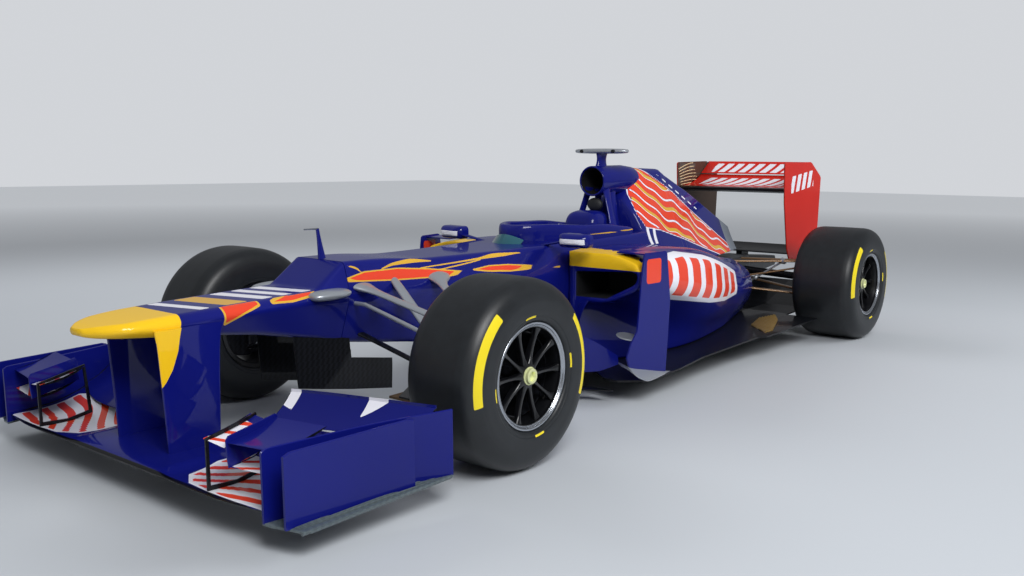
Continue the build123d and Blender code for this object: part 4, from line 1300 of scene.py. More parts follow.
@dataclass
class Hoop:
    """Round air intake on raked legs, with the pad behind the head and the camera blade on top."""

    front_x: float = -1640.0
    rear_x: float = -1985.0
    z: float = 880.0
    radius: float = 77.0

    def build(self) -> None:
        """Builds the intake, its legs, the pad and the camera blade."""
        lip = np.linspace(-math.pi / 2, math.pi / 2, 9)
        mouth = [(self.front_x + 4.5 * math.cos(a), self.radius - 4.5 - 4.5 * math.sin(-a)) for a in lip]
        profile = [(self.rear_x - 60, 1), (self.rear_x - 60, 40), (self.rear_x, 66),
                   (self.rear_x + 90, 76.5), *[(x, r) for x, r in mouth[::-1]],
                   (self.front_x - 26, 67), (self.front_x - 60, 66), (self.front_x - 276, 60),
                   (self.front_x - 276, 1)]
        line = np.array(profile)
        t = turns(72)[:, None]
        rings = np.stack([np.broadcast_to(line[:, 0], (72, len(line))), line[:, 1] * np.cos(t),
                          self.z + line[:, 1] * np.sin(t)], axis=-1)
        shell = Shell()
        dark = len(profile) - 4
        shell.grid(rings[:, :dark], along=True)
        shell.grid(rings[:, dark - 1:], along=True, slot=1)
        legs = len(shell.points)
        for start, end, chord in (((-1690, 50, 845), (-1672, 112, 646), 50),
                                  ((-1760, 38, 835), (-1775, 70, 622), 52)):
            s = np.linspace(0, 1, 16)[:, None]
            path = np.array(start) * (1 - s) + np.array(end) * s
            flare = 1 + 0.5 * (2 * s[:, 0] - 1)**4
            shell.closed(tube(path, chord * flare, 20 * flare, 20))
        shell.mirrored(legs)
        shell.build("hoop_skin", [LACQUER, INSIDE], ["roll_hoop"], slot="blue_paint")
        self.pad()
        self.blade()

    def pad(self) -> None:
        """Oval pad between the legs: an ellipsoid flattened on its rear."""
        u, v = np.meshgrid(np.linspace(0, math.pi, 24), turns(40), indexing="ij")
        ring = np.sin(u)**0.8
        x = -1668 + 20 * np.cos(u)
        y, z = 46 * ring * np.cos(v), 760 + 34 * ring * np.sin(v)
        shell = Shell()
        shell.grid(np.stack([x, y, z], axis=-1), around=True)
        shell.build("hoop_pad", [PADDING], [], sharp=80)

    def blade(self) -> None:
        """Camera blade: an oval wing section drawn thinner to its tips, on a short fin."""
        y = np.linspace(-161, 161, 50)
        half = 53 * np.sqrt(np.maximum(1 - (y / 162)**2, 0.0004))[:, None]
        t = turns(32)[None, :]
        x = -1725 + half * np.cos(t)
        z = 1031 + 13.5 * np.sign(np.sin(t)) * np.abs(np.sin(t))**0.7 * (half / 53)**0.35
        shell = Shell()
        shell.closed(np.stack([x, np.broadcast_to(y[:, None], x.shape), z], axis=-1))
        s = np.linspace(0, 1, 10)[:, None]
        path = np.array([(-1722, 0, 950)]) * (1 - s) + np.array([(-1726, 0, 1026)]) * s
        shell.closed(tube(path, 92 - 20 * np.sin(s * math.pi), 42 - 10 * np.sin(s * math.pi), 24), 2)
        for side in (-1, 1):
            a = turns(24)[None, :]
            r = np.array([1.0, 9, 11, 11])[:, None]
            x = np.repeat([[-1676.5], [-1676.5], [-1680.0], [-1698.0]], a.size, axis=1)
            eye = np.stack([x, side * 96 + r * np.cos(a), 1031 + r * np.sin(a) * 0.8], axis=-1)
            shell.closed(eye, 1)
        shell.build("camera_skin", [SILVER, INSIDE, LACQUER], ["camera_pod"], slot="silver_paint")


@dataclass
class FrontWing:
    """Front wing: main plane, flaps and cascades between curved end plates.

    The main rows are those of foil. The flaps' hold the trailing edge in the leading edge's
    place, and each row of the plate line holds x and y.
    """

    main: Array = table([
        (0, 1000, 104, 330, 2, 8, 38), (250, 1000, 104, 330, 2, 8, 38), (330, 1003, 106, 300, 5, 22, 20),
        (560, 1006, 106, 300, 7, 24, 18), (900, 960, 106, 330, 7, 24, 16)])
    lower: Array = table([
        (330, 688, 205, 105, 34, 8, 9), (560, 640, 205, 130, 30, 12, 10), (900, 505, 203, 140, 20, 12, 10)])
    upper: Array = table([
        (380, 592, 296, 122, 42, 9, 8), (560, 535, 298, 128, 40, 11, 9), (900, 402, 290, 128, 33, 11, 9)])
    plate_line: Array = table([(395, 886), (690, 803), (992, 755)])
    plate_foot: float = 78.0
    plate_thick: float = 8.0

    def limit(self, x: Array) -> Array:
        """Inner face of the curved end plate at each x."""
        return follow(self.plate_line, x.ravel())[:, 0].reshape(x.shape)

    def reach(self, rows: Array, count: int) -> Array:
        """Wing sections from the row's first y out to the end plate's curve.

        Args:
            rows: as for foil.
            count: number of sections.

        Returns:
            (count, points, 3) sections.
        """
        start, end = rows[0, 0], 800.0
        rings = foil(rows, np.linspace(start, end, count), 40)
        share = (rings[..., 1] - start) / (end - start)
        rings[..., 1] = start + share * (self.limit(rings[..., 0]) - 1 - start)
        return rings

    def planes(self) -> None:
        """Main plane and two rows of flaps, each turned from its trailing to its leading edge."""
        shell = Shell()
        half = self.reach(self.main, 120)
        rings = np.concatenate([half[:0:-1] * [1, -1, 1], half])
        shell.wing(rings)
        shell.build("front_plane_skin", [LACQUER, CARBON], ["front_wing_main"], slot="blue_paint",
                    marks=self.stripes)
        flaps = Shell()
        for rows in (self.lower, self.upper):
            lead = rows.copy()
            a = np.radians(rows[:, 4])
            lead[:, 1] += rows[:, 3] * np.cos(a)
            lead[:, 2] -= rows[:, 3] * np.sin(a)
            for s in (1, -1):
                flaps.wing(self.reach(lead, 60) * [1, s, 1])
                edge = self.reach(lead, 30)[:, 38:42] * [1, s, 1]
                lift = edge.mean(axis=1, keepdims=True)
                strip = lift + np.array([(1, 0, -1), (1, 0, 9), (-1, 0, 9), (-1, 0, -1)], dtype=float)
                flaps.closed(strip)
        flaps.build("front_flaps_skin", [LACQUER, CARBON], ["front_wing_flaps"], slot="blue_paint",
                    marks=self.flap_marks)

    def stripes(self, p: Array) -> Marks:
        """White and red stripes along the main plane, and near black along its leading edge, which is
        painted shade.

        Args:
            p: points in the body frame.

        Returns:
            Distance above zero inside each mark, by its name.
        """
        x, y = p[:, 0], np.abs(p[:, 1])
        panel = inside(x, y, [(985, 400), (940, 330), (820, 300), (700, 330), (680, 560), (720, 760),
                              (980, 740), (995, 560)])
        panel = np.minimum(panel, p[:, 2] - 96 + (1000 - x) * 0.02)
        wave = x + 0.45 * y + 18 * np.sin(y / 70)
        red = np.minimum(16 - np.abs(wave % 64 - 32), panel - 10)
        # The dark mark along the leading edge is painted shade.
        return {"white": panel, "orange": red, "dark": x - 990 + 0.03 * np.maximum(y - 560, 0)}

    def flap_marks(self, p: Array) -> Marks:
        """White edge near each flap's outer tip, and a white patch on the flaps' inner ends, which is a
        painted highlight.
        """
        y = np.abs(p[:, 1])
        return {"white": np.maximum(np.minimum(y - 655, 32 - np.abs((p[:, 0] + y) - 1180)),
                                    np.minimum(418 - y, 626 - p[:, 0]))}

    def upright(self, x: Array, y: Array, crest: Array, inset: float) -> Array:
        """Rings of a thin upright sheet whose top edge is bevelled on both sides.

        Args:
            x: stations.
            y: its inner face at each station.
            crest: height of its top.
            inset: how far the top stands in from each face.

        Returns:
            (stations, 6, 3) rings.
        """
        foot, outer = np.full_like(x, self.plate_foot), y + self.plate_thick
        corners = ((y, foot), (y, crest - 2), (y + inset, crest), (outer - inset, crest),
                   (outer, crest - 2), (outer, foot))
        return np.stack([np.column_stack([x, across_y, up]) for across_y, up in corners], axis=1)

    def ends(self) -> None:
        """Curved end plates, outer fences and foot plates."""
        shell = Shell()
        x = np.linspace(992, 395, 40)
        shell.closed(self.upright(x, self.limit(x), 284 - 8 * np.exp(-(992 - x) / 5), 2))
        fence = np.linspace(985, 540, 24)
        out = 838 + (985 - fence) / 445 * 30
        crest = 287 - 8 * np.exp(-(985 - fence) / 5) - 6 * np.exp(-(fence - 540) / 5)
        shell.closed(self.upright(fence, out, crest, 3))
        # The foot plate, its strakes and its lip are pale grey carbon, a painted sheen.
        foot = np.array([(992, 755), (990, 790), (975, 829), (965, 880), (945, 899), (420, 899), (400, 896),
                         (392, 884), (540, 846), (690, 803), (840, 778)], dtype=float)
        inner = foot - (foot - foot.mean(axis=0)) * 0.008
        stack = [np.column_stack([f, np.full(len(f), z)]) for f,
                 z in ((inner, 72.0), (foot, 73.5), (foot, 78.5), (inner, 80.0))]
        shell.closed(np.stack(stack), 1)
        for offset in (20, 34, 48):
            s = np.linspace(0, 1, 24)[:, None]
            path = np.hstack([960 - 520 * s, 840 + offset * (0.55 + 0.45 * s), 81 + 0 * s])
            shell.closed(tube(path, 5 + 0 * s, 8 * np.sin(math.pi * (0.06 + 0.9 * s)), 10), 1)
        curl = np.linspace(0, 1, 20)[:, None]
        lip = np.hstack([968 - 560 * curl, 896 - 6 * (1 - curl), 76 + 0 * curl])
        shell.closed(tube(lip, 12 + 0 * curl, 12 + 0 * curl, 14), 1)
        shell.mirrored()
        shell.build("front_ends_skin", [LACQUER, GREY_CARBON], ["front_wing_endplates"], slot="blue_paint")

    def cascades(self) -> None:
        """Two steps of small wings with their fence and step plate."""
        shell = Shell()
        up = np.array([(486, 985, 258, 165, 13, 10, 7), (586, 975, 244, 165, 13, 10, 7)], dtype=float)
        low = np.array([(586, 970, 192, 160, 12, 10, 7), (830, 945, 198, 160, 12, 10, 7)], dtype=float)
        tier = np.array([(586, 975, 262, 165, 13, 10, 8), (830, 945, 266, 165, 13, 10, 8)], dtype=float)
        shell.wing(foil(up, np.linspace(486, 586, 40), 40))
        for rows in (low, tier):
            rings = foil(rows, np.linspace(586, 790, 60), 40)
            share = (rings[..., 1] - 586) / 204
            rings[..., 1] = 586 + share * (self.limit(rings[..., 0]) - 1 - 586)
            shell.wing(rings)
        step = [(974, 190), (979, 230), (980, 270), (972, 281), (890, 296), (812, 310), (805, 304),
                (800, 228)]
        shell.closed(plate(step, 586, 6, 1.5))
        frame_line = np.array([(990, 110), (990, 262), (900, 282), (818, 300), (802, 120), (890, 104)],
                              dtype=float)
        hole_line = np.array([(980, 122), (980, 254), (898, 272), (826, 289), (814, 130), (890, 116)],
                             dtype=float)
        stand = [np.column_stack([e[:, 0], np.full(len(e), y), e[:, 1]]) for e, y in (
            (frame_line, 500.0), (frame_line, 506.0), (hole_line, 506.0), (hole_line, 500.0))]
        shell.grid(np.stack(stand), around=True, along=True, slot=1)
        shell.mirrored()
        shell.build("cascades_skin", [LACQUER, CARBON], ["front_wing_cascades"], slot="blue_paint",
                    marks=self.cascade_marks)

    def cascade_marks(self, p: Array) -> Marks:
        """Red and white stripes along the small wings.

        Args:
            p: points in the body frame.

        Returns:
            Distance above zero inside each mark, by its name.
        """
        x, y = p[:, 0], np.abs(p[:, 1])
        wave = (x + 0.5 * y) % 52 - 26
        top = np.minimum(574 - y, x - 850)
        edge = np.minimum(np.minimum(y - 590, 40 - np.abs(x - 925)), 230 - p[:, 2])
        panel = np.maximum(top, edge)
        return {"white": panel, "orange": np.minimum(9 - np.abs(wave), panel)}

    def build(self) -> None:
        """Builds every piece of the wing."""
        self.planes()
        self.ends()
        self.cascades()


@dataclass
class RearWing:
    """Rear wing: end plates with louvres, main plane, opening flap and beam wing."""

    axle_x: float = -3260.0
    half: float = 375.0
    thick: float = 9.0

    def plates(self) -> None:
        """End plates with rounded corners, louvre blades at the top and a thin rear edge."""
        x = self.axle_x
        outline = [(95, 938), (80, 946), (-296, 946), (-318, 940), (-466, 852), (-475, 838), (-452, 512),
                   (-440, 494),
                   (-250, 338), (-232, 330), (-40, 330), (-24, 336), (14, 400), (24, 425), (80, 700),
                   (94, 900)]
        line = [(x + a, z) for a, z in outline]
        shell = Shell()
        side = np.array([(x - 500, self.half - self.thick), (x + 100, self.half - self.thick)], dtype=float)
        shell.closed(sheet(line, side, self.thick - 0.3, 120, 110))
        # The louvre blades are thin cream lines, painted highlights.
        s = np.linspace(0, 1, 20)
        for i in range(7):
            px = x + 84 - 6 * i - (190 + 8 * i) * s
            pz = 900 - 17 * i + 38 * np.sin(s * 1.5) - 6 * i * s
            path = np.column_stack([px, np.full(20, self.half - self.thick), np.minimum(pz, 938)])
            shell.closed(tube(path, np.full(20, 5.0), np.full(20, 5.0), 10), 1)
        shell.mirrored()
        shell.build("rear_plates_skin", [RED_LACQUER, LOUVRE_HIGHLIGHT], ["rear_wing_endplates"], slot="red_paint",
                    marks=self.plate_marks)

    def plate_marks(self, p: Array) -> Marks:
        """Broad slanted white bars on the outer face and a grey inner face.

        Args:
            p: points in the body frame.

        Returns:
            Distance above zero inside each mark, by its name.
        """
        x, y, z = p[:, 0] - self.axle_x, np.abs(p[:, 1]), p[:, 2]
        outer = np.where(y > self.half - 4.5, 0.0, -60.0)
        slant = (x + 0.3 * z) % 84 - 42
        band = np.minimum(np.minimum(52 - np.abs(z - 808 + 0.1 * x), 172 - np.abs(x + 180)),
                          26 - np.abs(slant)) + outer
        return {"white": band, "grey": self.half - 5 - y}

    def planes(self) -> None:
        """Main plane and beam wing, with a thin strip along the main plane's rear edge."""
        reach = self.half - self.thick
        y = np.linspace(-reach, reach, 150)
        for name, row, node, finish in (
                ("rear_plane_skin", (90, 782, 330, 13.5, 34, 38), "rear_wing_main", RED_LACQUER),
                ("beam_skin", (-30, 378, 170, 14, 10, 16), "beam_wing", CARBON)):
            red = finish is RED_LACQUER
            rows = np.array([(s * reach, self.axle_x + row[0], *row[1:]) for s in (-1, 1)], dtype=float)
            shell = Shell()
            shell.wing(foil(rows, y, 40))
            shell.build(name, [finish, CARBON], [node], slot="red_paint" if red else "carbon_fibre",
                        marks=self.bands if red else None)

    def bands(self, p: Array) -> Marks:
        """White slanted bars on the upper faces and a dark underside.

        Args:
            p: points in the body frame.

        Returns:
            Distance above zero inside each mark, by its name.
        """
        x, y = p[:, 0] - self.axle_x, p[:, 1]
        low = np.where(x < -200, 40 - np.abs(x + 268), 74 - np.abs(x + 112))
        bars = np.minimum(np.minimum(24 - np.abs((y + 0.5 * x) % 74 - 37), 290 - np.abs(y)), low)
        return {"white": bars, "dark": x - 34}

    def flap(self) -> None:
        """Opening flap with its pivots."""
        chord, angle = 132.0, 36.0
        a = math.radians(angle)
        lead_x, lead_z = self.axle_x - 324 + chord * math.cos(a), 944 - chord * math.sin(a)
        reach = self.half - self.thick - 5
        rows = np.array([(s * reach, lead_x, lead_z, chord, angle, 8, 10) for s in (-1, 1)], dtype=float)
        shell = Shell()
        shell.wing(foil(rows, np.linspace(-reach, reach, 150), 30), lower=2)
        pivot = np.array([self.axle_x - 324 + 14 * math.cos(a), 0, 944 - 14 * math.sin(a)])
        for s in (-1, 1):
            y = np.repeat([[s * (reach - 6)], [s * (reach + 4.6)]], 20, axis=1)
            x, z = pivot[0] + 5 * np.cos(turns(20)), pivot[2] + 5 * np.sin(turns(20))
            shell.closed(np.stack([np.stack([x, x]), y, np.stack([z, z])], axis=-1), 1)
        shell.build("flap_skin", [RED_LACQUER, MACHINED, CARBON], ["drs_flap"], "drs_flap", "red_paint",
                    marks=self.bands)

    def build(self) -> None:
        """Builds every piece of the wing."""
        self.plates()
        self.planes()
        self.flap()


@dataclass
class FrontArms:
    """Front wishbones and push rods, with fairings where they leave the body."""

    ball_y: float = 672.0
    rise: float = 104.0

    def leg(self, shell: Shell, foot: tuple[float, float, float], end: Array, chord: float, thick: float,
            fairing: float, slot: int = 0) -> None:
        """One leg: an oval section that swells by a bell curve into a fairing at the body.

        Args:
            shell: where it goes.
            foot: its end on the body, in the body frame.
            end: its end at the wheel, in the world frame.
            chord: width along the car.
            thick: height.
            fairing: how much it swells.
            slot: number of its finish.
        """
        start = to_world(np.array([foot], dtype=float))[0]
        s = np.linspace(0, 1, 40)[:, None]
        path = start * (1 - s) + end * s
        swell = 1 + fairing * np.exp(-(s[:, 0] / 0.11)**2)
        rings = tube(path, chord * swell, thick * (0.4 + 0.6 * swell) * 1.08, 22)
        shell.closed(rings, slot)

    def build(self) -> None:
        """Builds both sides' arms as one piece."""
        up = np.array([FRONT_AXLE_X, self.ball_y, AXLE_Z + self.rise])
        low = np.array([FRONT_AXLE_X, self.ball_y, AXLE_Z - self.rise])
        push = low + [0, -70, 24]
        shell = Shell(tilted=False)
        self.leg(shell, (85, 132, 560), up, 42, 17, 1.5)
        self.leg(shell, (-310, 152, 555), up, 38, 16, 2.4)
        # The lower legs are dark carbon, painted shade: they stand in shadow, unlike the silver upper legs.
        self.leg(shell, (62, 102, 372), low, 30, 13, 0.3, 2)
        self.leg(shell, (-330, 102, 300), low, 30, 13, 0.3, 2)
        self.leg(shell, (-81, 112, 602), push, 46, 20, -0.5)
        for centre in (up, low):
            u, v = np.meshgrid(np.linspace(0, math.pi, 14), turns(22), indexing="ij")
            ball = centre + 13 * np.stack([np.sin(u) * np.cos(v), np.sin(u) * np.sin(v), np.cos(u)],
                                          axis=-1)
            shell.grid(ball, around=True, slot=1)
        shell.mirrored()
        shell.build("front_arms_skin", [SILVER, MACHINED, CARBON], ["front_wishbones"], slot="silver_paint")


@dataclass
class Mirrors:
    """Mirrors: rounded housings with the glass set in their rear, on flat stalks."""

    y: float = 362.0
    z: float = 662.0
    x: float = -975.0

    def build(self) -> None:
        """Builds both mirrors."""
        shell = Shell()
        s = np.linspace(0, 1, 16)
        depth = 35 - 70 * s
        size = np.where(s < 0.6, np.sin(np.clip(s / 0.6, 0.04, 1) * math.pi / 2)**0.5, 1.0)
        w, h = 78 * size**0.6, 31 * size
        corners = np.stack([np.stack([-w, -h], -1), np.stack([w, -h], -1), np.stack([w, h], -1),
                            np.stack([-w, h], -1)], axis=1)
        rings = across(depth, rounded(corners, np.array([24.0] * 4), 8, 5))
        c, t = math.cos(math.radians(6)), math.sin(math.radians(6))
        turned = np.stack([rings[..., 0] * c - rings[..., 1] * t, rings[..., 0] * t + rings[..., 1] * c,
                           rings[..., 2]], axis=-1)
        turned += [self.x, self.y, self.z - 14]
        shell.grid(turned, around=True)
        shell.lid(turned[0])
        rim = turned[-1] + (turned[-1].mean(axis=0) - turned[-1]) * 0.08
        sunk = rim + [4, 0, 0]
        shell.grid(np.stack([turned[-1], rim, sunk]), around=True)
        shell.lid(sunk, 1)
        share = np.linspace(0, 1, 14)[:, None]
        start, end = np.array([(-975, self.y - 40, self.z - 16)]), np.array([(-985, 172, 616)])
        path = start * (1 - share) + end * share
        shell.closed(tube(path, 40 - 12 * share, 11 + 0 * share, 18))
        shell.mirrored()
        shell.build("mirrors_skin", [LACQUER, MIRROR_GLASS], ["mirrors"], slot="blue_paint",
                    marks=self.marks)

    def marks(self, p: Array) -> Marks:
        """White band on the housing's side."""
        return {"white": np.minimum(12 - np.abs(p[:, 2] - self.z + 16),
                                    62 - np.abs(np.abs(p[:, 1]) - self.y - 4))}


@dataclass
class Vanes:
    """Bargeboards, tall pod vanes and turning vanes, as thin curved sheets."""

    def boards(self) -> None:
        """Bargeboards with their foot plates."""
        boards = Shell()
        boards.closed(sheet([(-600, 8.5), (-586, 60), (-590, 110), (-620, 200), (-680, 270), (-740, 292),
                             (-820, 292),
                            (-880, 268), (-1026, 152), (-1030, 114), (-956, 90), (-880, 84), (-800, 62),
                            (-720, 8.5)],
                   np.array([(-560, 258), (-680, 286), (-800, 340), (-880, 430), (-956, 512), (-1030, 562)],
                            dtype=float), 5))
        foot = np.array([(-640, 225), (-640, 292), (-720, 312), (-800, 350), (-880, 455), (-956, 585),
                         (-956, 480), (-860, 320), (-1000, 300), (-1000, 225)], dtype=float)
        boards.closed(np.stack([np.column_stack([foot, np.full(len(foot), z)]) for z in (8.5, 14.0)]), 1)
        boards.mirrored()
        boards.build("boards_skin", [LACQUER, CARBON], ["bargeboards"], slot="blue_paint", marks=self.base)

    def tall(self) -> None:
        """Tall vanes ahead of the pods, with their bridges, shoes and oval ends."""
        tall = Shell()
        tall.closed(sheet([(-1012, 104), (-972, 124), (-956, 165), (-985, 225), (-1025, 270), (-1034, 340),
                           (-1046, 470),
                          (-1066, 598), (-1080, 606), (-1206, 606), (-1222, 598), (-1238, 480),
                          (-1250, 382), (-1226, 64)],
                   np.array([(-1250, 684), (-1063, 661), (-940, 647)], dtype=float), 7))
        tall.closed(np.stack([np.array([(-1104, y, 593), (-1104, y, 599), (-1160, y, 600.5),
                                        (-1216, y, 599), (-1216, y, 593)],
                                       dtype=float) for y in (502.0, 590.0, 671.0)]))
        upper = np.array([(-1036, 556, 121), (-1000, 600, 127), (-972, 652, 125), (-1020, 658, 112),
                          (-1110, 668, 92), (-1240, 682, 62)], dtype=float)
        outer = np.array([(-1030, 566, 117), (-985, 622, 117), (-968, 690, 96), (-1020, 722, 66),
                          (-1110, 712, 60.5), (-1262, 692, 59)], dtype=float)
        length = np.linspace(0, 1, len(upper))
        top_line, low_line = (follow(np.column_stack([length, e]), np.linspace(0, 1, 40))
                              for e in (upper, outer))
        fall = np.linspace(0, 1, 8)[:, None]
        shoe = top_line[:, None] * (1 - fall) + low_line[:, None] * fall
        tall.closed(np.concatenate([shoe, shoe[:, ::-1] - [0, 0, 3]], axis=1), 1)
        turn = turns(32)
        oval = np.column_stack([-1040 + 52 * np.cos(turn), 604 + 50 * np.sin(turn),
                                240 - 10 * np.sin(turn)])
        inner_oval = oval + (oval.mean(axis=0) - oval) * 0.06
        tall.closed(np.stack([inner_oval - [0, 0, 3], oval, inner_oval + [0, 0, 3]]), 1)
        tall.mirrored()
        tall.build("pod_vanes_skin", [LACQUER, SILVER], ["pod_vanes"], slot="blue_paint", marks=self.number)

    def turning(self) -> None:
        """Turning vanes under the nose, in near black carbon: painted shade, as they stand in the shadow
        under it.
        """
        under = Shell()
        under.closed(sheet([(368, 424), (352, 212), (250, 190), (100, 160), (-93, 128), (-95, 248),
                            (106, 283), (112, 340), (114, 396), (240, 412)],
                   np.array([(-95, 118), (100, 108), (370, 104)], dtype=float), 5))
        under.mirrored()
        under.build("turning_skin", [CARBON], ["turning_vanes"], slot="blue_paint")

    def build(self) -> None:
        """Builds each family as a piece of its own."""
        self.boards()
        self.tall()
        self.turning()

    def base(self, p: Array) -> Marks:
        """Grey band along the board's base."""
        return {"grey": 24 - p[:, 2]}

    def number(self, p: Array) -> Marks:
        """Plain orange patch near the vane's top.

        Args:
            p: points in the body frame.

        Returns:
            Distance above zero inside each mark, by its name.
        """
        x, z = p[:, 0], p[:, 2]
        reach = np.hypot(np.maximum(np.abs(x + 1132) - 36, 0), np.maximum(np.abs(z - 524) - 40, 0))
        return {"orange": 14 - reach}


@dataclass
class NoseFittings:
    """Air speed tube on its mast, and a silver camera pod on either side of the nose."""

    pod_x: float = 242.0
    pod_y: float = 164.0
    pod_z: float = 543.0

    def mast(self, shell: Shell) -> None:
        """Mast that narrows upwards, and the thin pipe on its top.

        Args:
            shell: where they go.
        """
        s = np.linspace(0, 1, 18)[:, None]
        mast = np.array([(137, 0, 650)]) * (1 - s) + np.array([(154, 0, 764)]) * s
        shell.closed(tube(mast, 20 * (1 - s)**1.5 + 15, 11 * (1 - s)**2 + 8, 18))
        pipe = np.array([(150, 0, 763)]) * (1 - s) + np.array([(216, 0, 765)]) * s
        t = turns(16)[None, :]
        r = 3.6 - 1.2 * s
        x = np.broadcast_to(pipe[:, :1], (len(s), t.size))
        shell.closed(np.stack([x, r * np.cos(t), pipe[:, 2:] + r * np.sin(t)], axis=-1), 1)

    def pod(self, shell: Shell, side: int) -> None:
        """One camera pod: an ellipsoid with blunt ends.

        Args:
            shell: where it goes.
            side: 1 for the left, -1 for the right.
        """
        v = np.linspace(0, math.pi, 30)[:, None]
        ring = np.maximum(np.sin(v), 0.02)**0.6
        a = turns(36)[None, :]
        x = np.broadcast_to(self.pod_x + 86 * np.cos(v), (v.size, a.size))
        y = side * (self.pod_y + 46 * ring * np.cos(a))
        shell.closed(np.stack([x, y, self.pod_z + 20 * ring * np.sin(a)], axis=-1), 2)

    def build(self) -> None:
        """Builds the tube and both pods as one piece."""
        shell = Shell()
        self.mast(shell)
        self.pod(shell, 1)
        self.pod(shell, -1)
        shell.build("nose_fittings", [LACQUER, MACHINED, SILVER], ["nose_cameras"], slot="silver_paint")


@dataclass
class RearFittings:
    """Silver pull rods from the gear case to the upper arms, and ribbed foil on the floor."""

    inner: tuple[float, float, float] = (-3096, 112, 248)
    outer: tuple[float, float, float] = (-3130, 402, 446)
    foil_top: float = 61.0

    def rods(self) -> None:
        """Pull rods: bars that swell into a sleeve at their middle and a joint at their end."""
        shell = Shell(tilted=False)
        s = np.linspace(0, 1, 60)[:, None]
        path = np.array(self.inner) * (1 - s) + np.array(self.outer) * s + [FRONT_AXLE_X, 0, 0]
        share = s[:, 0]
        swell = 1 + 1.2 * np.exp(-((share - 0.4) / 0.035)**4) + 2.4 * np.exp(-((share - 1) / 0.06)**4)
        shell.closed(tube(path, 13 * swell, 13 * swell, 20))
        shell.mirrored()
        shell.build("rear_rods", [SILVER], [], slot="silver_paint")

    def heat_foil(self) -> None:
        """Ribbed foil ahead of each rear tyre: its height swings as a sine along the car."""
        x = np.linspace(-2353, -2873, 240)
        outer = np.interp(-x, [2353, 2432, 2731, 2873], [648, 656, 552, 473])
        inner = np.interp(-x, [2353, 2494, 2724, 2873], [642, 497, 439, 469])
        share = np.linspace(0, 1, 30)
        y = inner[:, None] * (1 - share) + outer[:, None] * share
        along = np.broadcast_to(x[:, None], y.shape)
        top = self.foil_top + 1 + 3.5 * np.sin((along - 0.6 * y) * 2 * math.pi / 30)
        upper = np.stack([along, y, top], axis=-1)
        lower = np.stack([along, y, np.full_like(y, 57.0)], axis=-1)
        shell = Shell()
        shell.closed(np.concatenate([upper, lower[:, ::-1]], axis=1))
        shell.mirrored()
        shell.build("heat_foil", [FOIL], [], slot="cast_metal", sharp=80)

    def build(self) -> None:
        """Builds the rods and the foil."""
        self.rods()
        self.heat_foil()


@dataclass(frozen=True)
class Dress:
    """Finishes of the CAD nodes that are shown as they are."""

    # The rear arms' bronze is painted warm light.
    others: tuple[tuple[str, Finish], ...] = (("seat", PADDING), ("exhausts", FOIL),
                                              ("rear_wishbones", WARM_LIT_BRONZE))

    def build(self) -> None:
        """Gives each node that has no skin its finish, by name or by its slot in the record."""
        table = {part["node"]: part["material_slot"] for part in frame["record"]["subparts"]}
        named = dict(self.others)
        for node, shown in frame["nodes"].items():
            finish = named.get(node) or BY_SLOT[table[node]]
            shown.data.materials.clear()
            shown.data.materials.append(finish.make())


@dataclass(frozen=True)
class Camera:
    """The photograph's viewpoint, worked out from the car's known points.

    The focal length is in pixels of a picture 1024 wide, angles are in radians.
    """

    place: tuple[float, float, float] = (2.4764 + FRONT_AXLE_X / 1000, 2.8056, 1.0464)
    yaw: float = 3.8237
    pitch: float = 0.1332
    roll: float = 0.009
    focal: float = 960.9
    picture_width: float = 1024.0
    sensor: float = 36.0

    def build(self) -> None:
        """Makes the camera and sets it as the scene's own."""
        cy, sy = math.cos(self.yaw), math.sin(self.yaw)
        cp, sp = math.cos(self.pitch), math.sin(self.pitch)
        ahead = np.array([cy * cp, sy * cp, -sp])
        right = np.array([sy, -cy, 0.0])
        up = np.cross(right, ahead)
        cr, sr = math.cos(self.roll), math.sin(self.roll)
        turned_right, turned_up = right * cr + up * sr, up * cr - right * sr
        lens = bpy.data.cameras.new("camera")
        lens.sensor_width = self.sensor
        lens.lens = self.focal * self.sensor / self.picture_width
        lens.clip_start = 0.05
        camera = bpy.data.objects.new("camera", lens)
        bpy.context.scene.collection.objects.link(camera)
        columns = np.column_stack([turned_right, turned_up, -ahead, self.place])
        camera.matrix_world = Matrix([*columns.tolist(), [0, 0, 0, 1]])
        bpy.context.scene.camera = camera


@dataclass(frozen=True)
class Lamp:
    """A soft box over the car: its place and size in metres, power in watts."""

    name: str
    place: tuple[float, float, float]
    aim: tuple[float, float, float]
    size: tuple[float, float]
    power: float
    mirrored: bool = False

    def build(self) -> None:
        """Makes the lamp and turns it to what it lights."""
        data = bpy.data.lights.new(self.name, "AREA")
        data.shape = "RECTANGLE"
        data.size, data.size_y = self.size
        data.energy = self.power
        lamp = bpy.data.objects.new(self.name, data)
        bpy.context.scene.collection.objects.link(lamp)
        lamp.location = self.place
        lamp.visible_glossy = self.mirrored
        lamp.rotation_mode = "QUATERNION"
        lamp.rotation_quaternion = (Vector(self.place) - Vector(self.aim)).to_track_quat("Z", "Y")


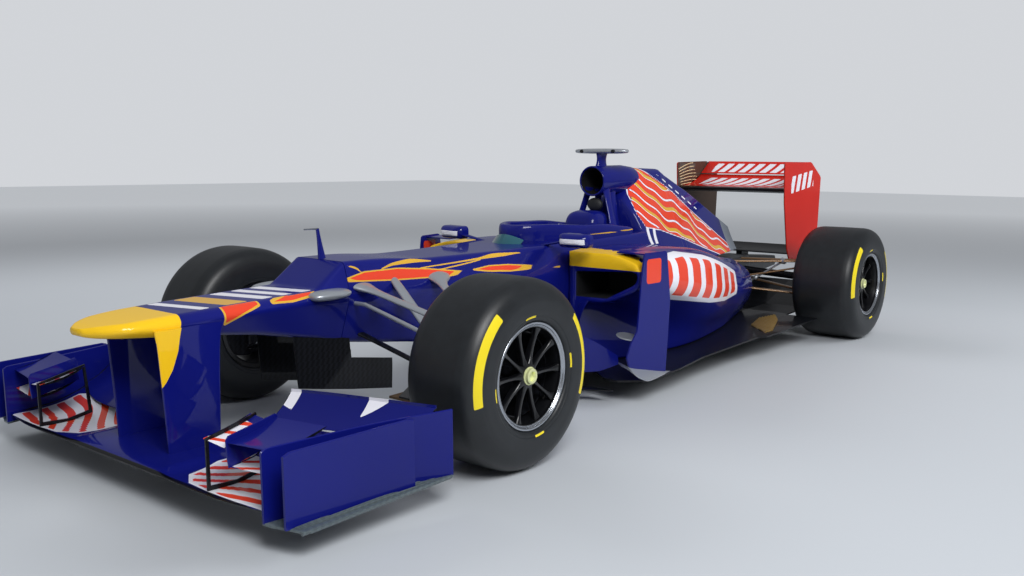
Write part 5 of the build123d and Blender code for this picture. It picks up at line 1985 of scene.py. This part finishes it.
@dataclass(frozen=True)
class Studio:
    """Pale floor, even sky and soft boxes round the car."""

    floor_size: float = 60.0
    lamps: tuple[Lamp, ...] = (
        Lamp("key", (3.6, 4.2, 4.6), (0.6, 0.0, 0.4), (2.6, 2.6), 300.0, True),
        Lamp("fill", (-3.5, 4.5, 3.5), (-0.8, 0.0, 0.4), (4.0, 2.5), 190.0),
        Lamp("back", (-1.0, -5.0, 4.5), (0.0, 0.0, 0.4), (6.0, 2.5), 190.0),
    )

    def build(self) -> None:
        """Makes the floor, the sky and the lamps."""
        half = self.floor_size / 2
        data = bpy.data.meshes.new("studio_floor")
        data.from_pydata([(-half, -half, 0), (half, -half, 0), (half, half, 0), (-half, half, 0)], [],
                         [(0, 1, 2, 3)])
        floor = bpy.data.objects.new("studio_floor", data)
        bpy.context.scene.collection.objects.link(floor)
        material = bpy.data.materials.new("studio paper")
        material.use_nodes = True
        shader = material.node_tree.nodes["Principled BSDF"]
        shader.inputs["Base Color"].default_value = linear("BCC1C7")
        shader.inputs["Roughness"].default_value = 0.6
        tree = material.node_tree
        place = add_node(tree, "TexCoord").outputs["Object"]
        away = add_node(tree, "VectorMath", {0: place}, operation="LENGTH").outputs["Value"]
        glow = add_node(tree, "MapRange",
                        {"Value": away, "From Min": 4.0, "From Max": 18.0, "To Max": 0.42})
        seen = add_node(tree, "LightPath").outputs["Is Camera Ray"]
        level = add_node(tree, "Math", {0: glow.outputs[0], 1: seen}, operation="MULTIPLY")
        shader.inputs["Emission Color"].default_value = linear("E6E9ED")
        tree.links.new(level.outputs[0], shader.inputs["Emission Strength"])
        data.materials.append(material)
        world = bpy.data.worlds.new("studio sky")
        bpy.context.scene.world = world
        world.use_nodes = True
        sky = world.node_tree.nodes["Background"]
        sky.inputs["Color"].default_value = linear("EEF1F6")
        path = add_node(world.node_tree, "LightPath").outputs["Is Camera Ray"]
        level = add_node(world.node_tree, "MapRange", {"Value": path, "To Min": 0.3, "To Max": 0.75})
        world.node_tree.links.new(level.outputs[0], sky.inputs["Strength"])
        for lamp in self.lamps:
            lamp.build()


def main() -> None:
    """Builds the studio and every piece of the car in order."""
    logging.basicConfig(level=logging.INFO, format="%(message)s")
    bpy.context.scene.view_settings.view_transform = "Standard"
    Camera().build()
    Studio().build()
    Dress().build()
    for end, axle, outer, width, face in AXLES:
        for word, side in (("left", 1), ("right", -1)):
            Wheel(f"{end}_{word}", axle, outer, width, side, face).build()
    Nose().build()
    Tub().build()
    Pod().build(1)
    Pod().build(-1)
    Cover().build()
    Hoop().build()
    FrontWing().build()
    RearWing().build()
    FrontArms().build()
    Mirrors().build()
    Vanes().build()
    NoseFittings().build()
    RearFittings().build()
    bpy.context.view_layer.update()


if __name__ == "__main__":
    main()
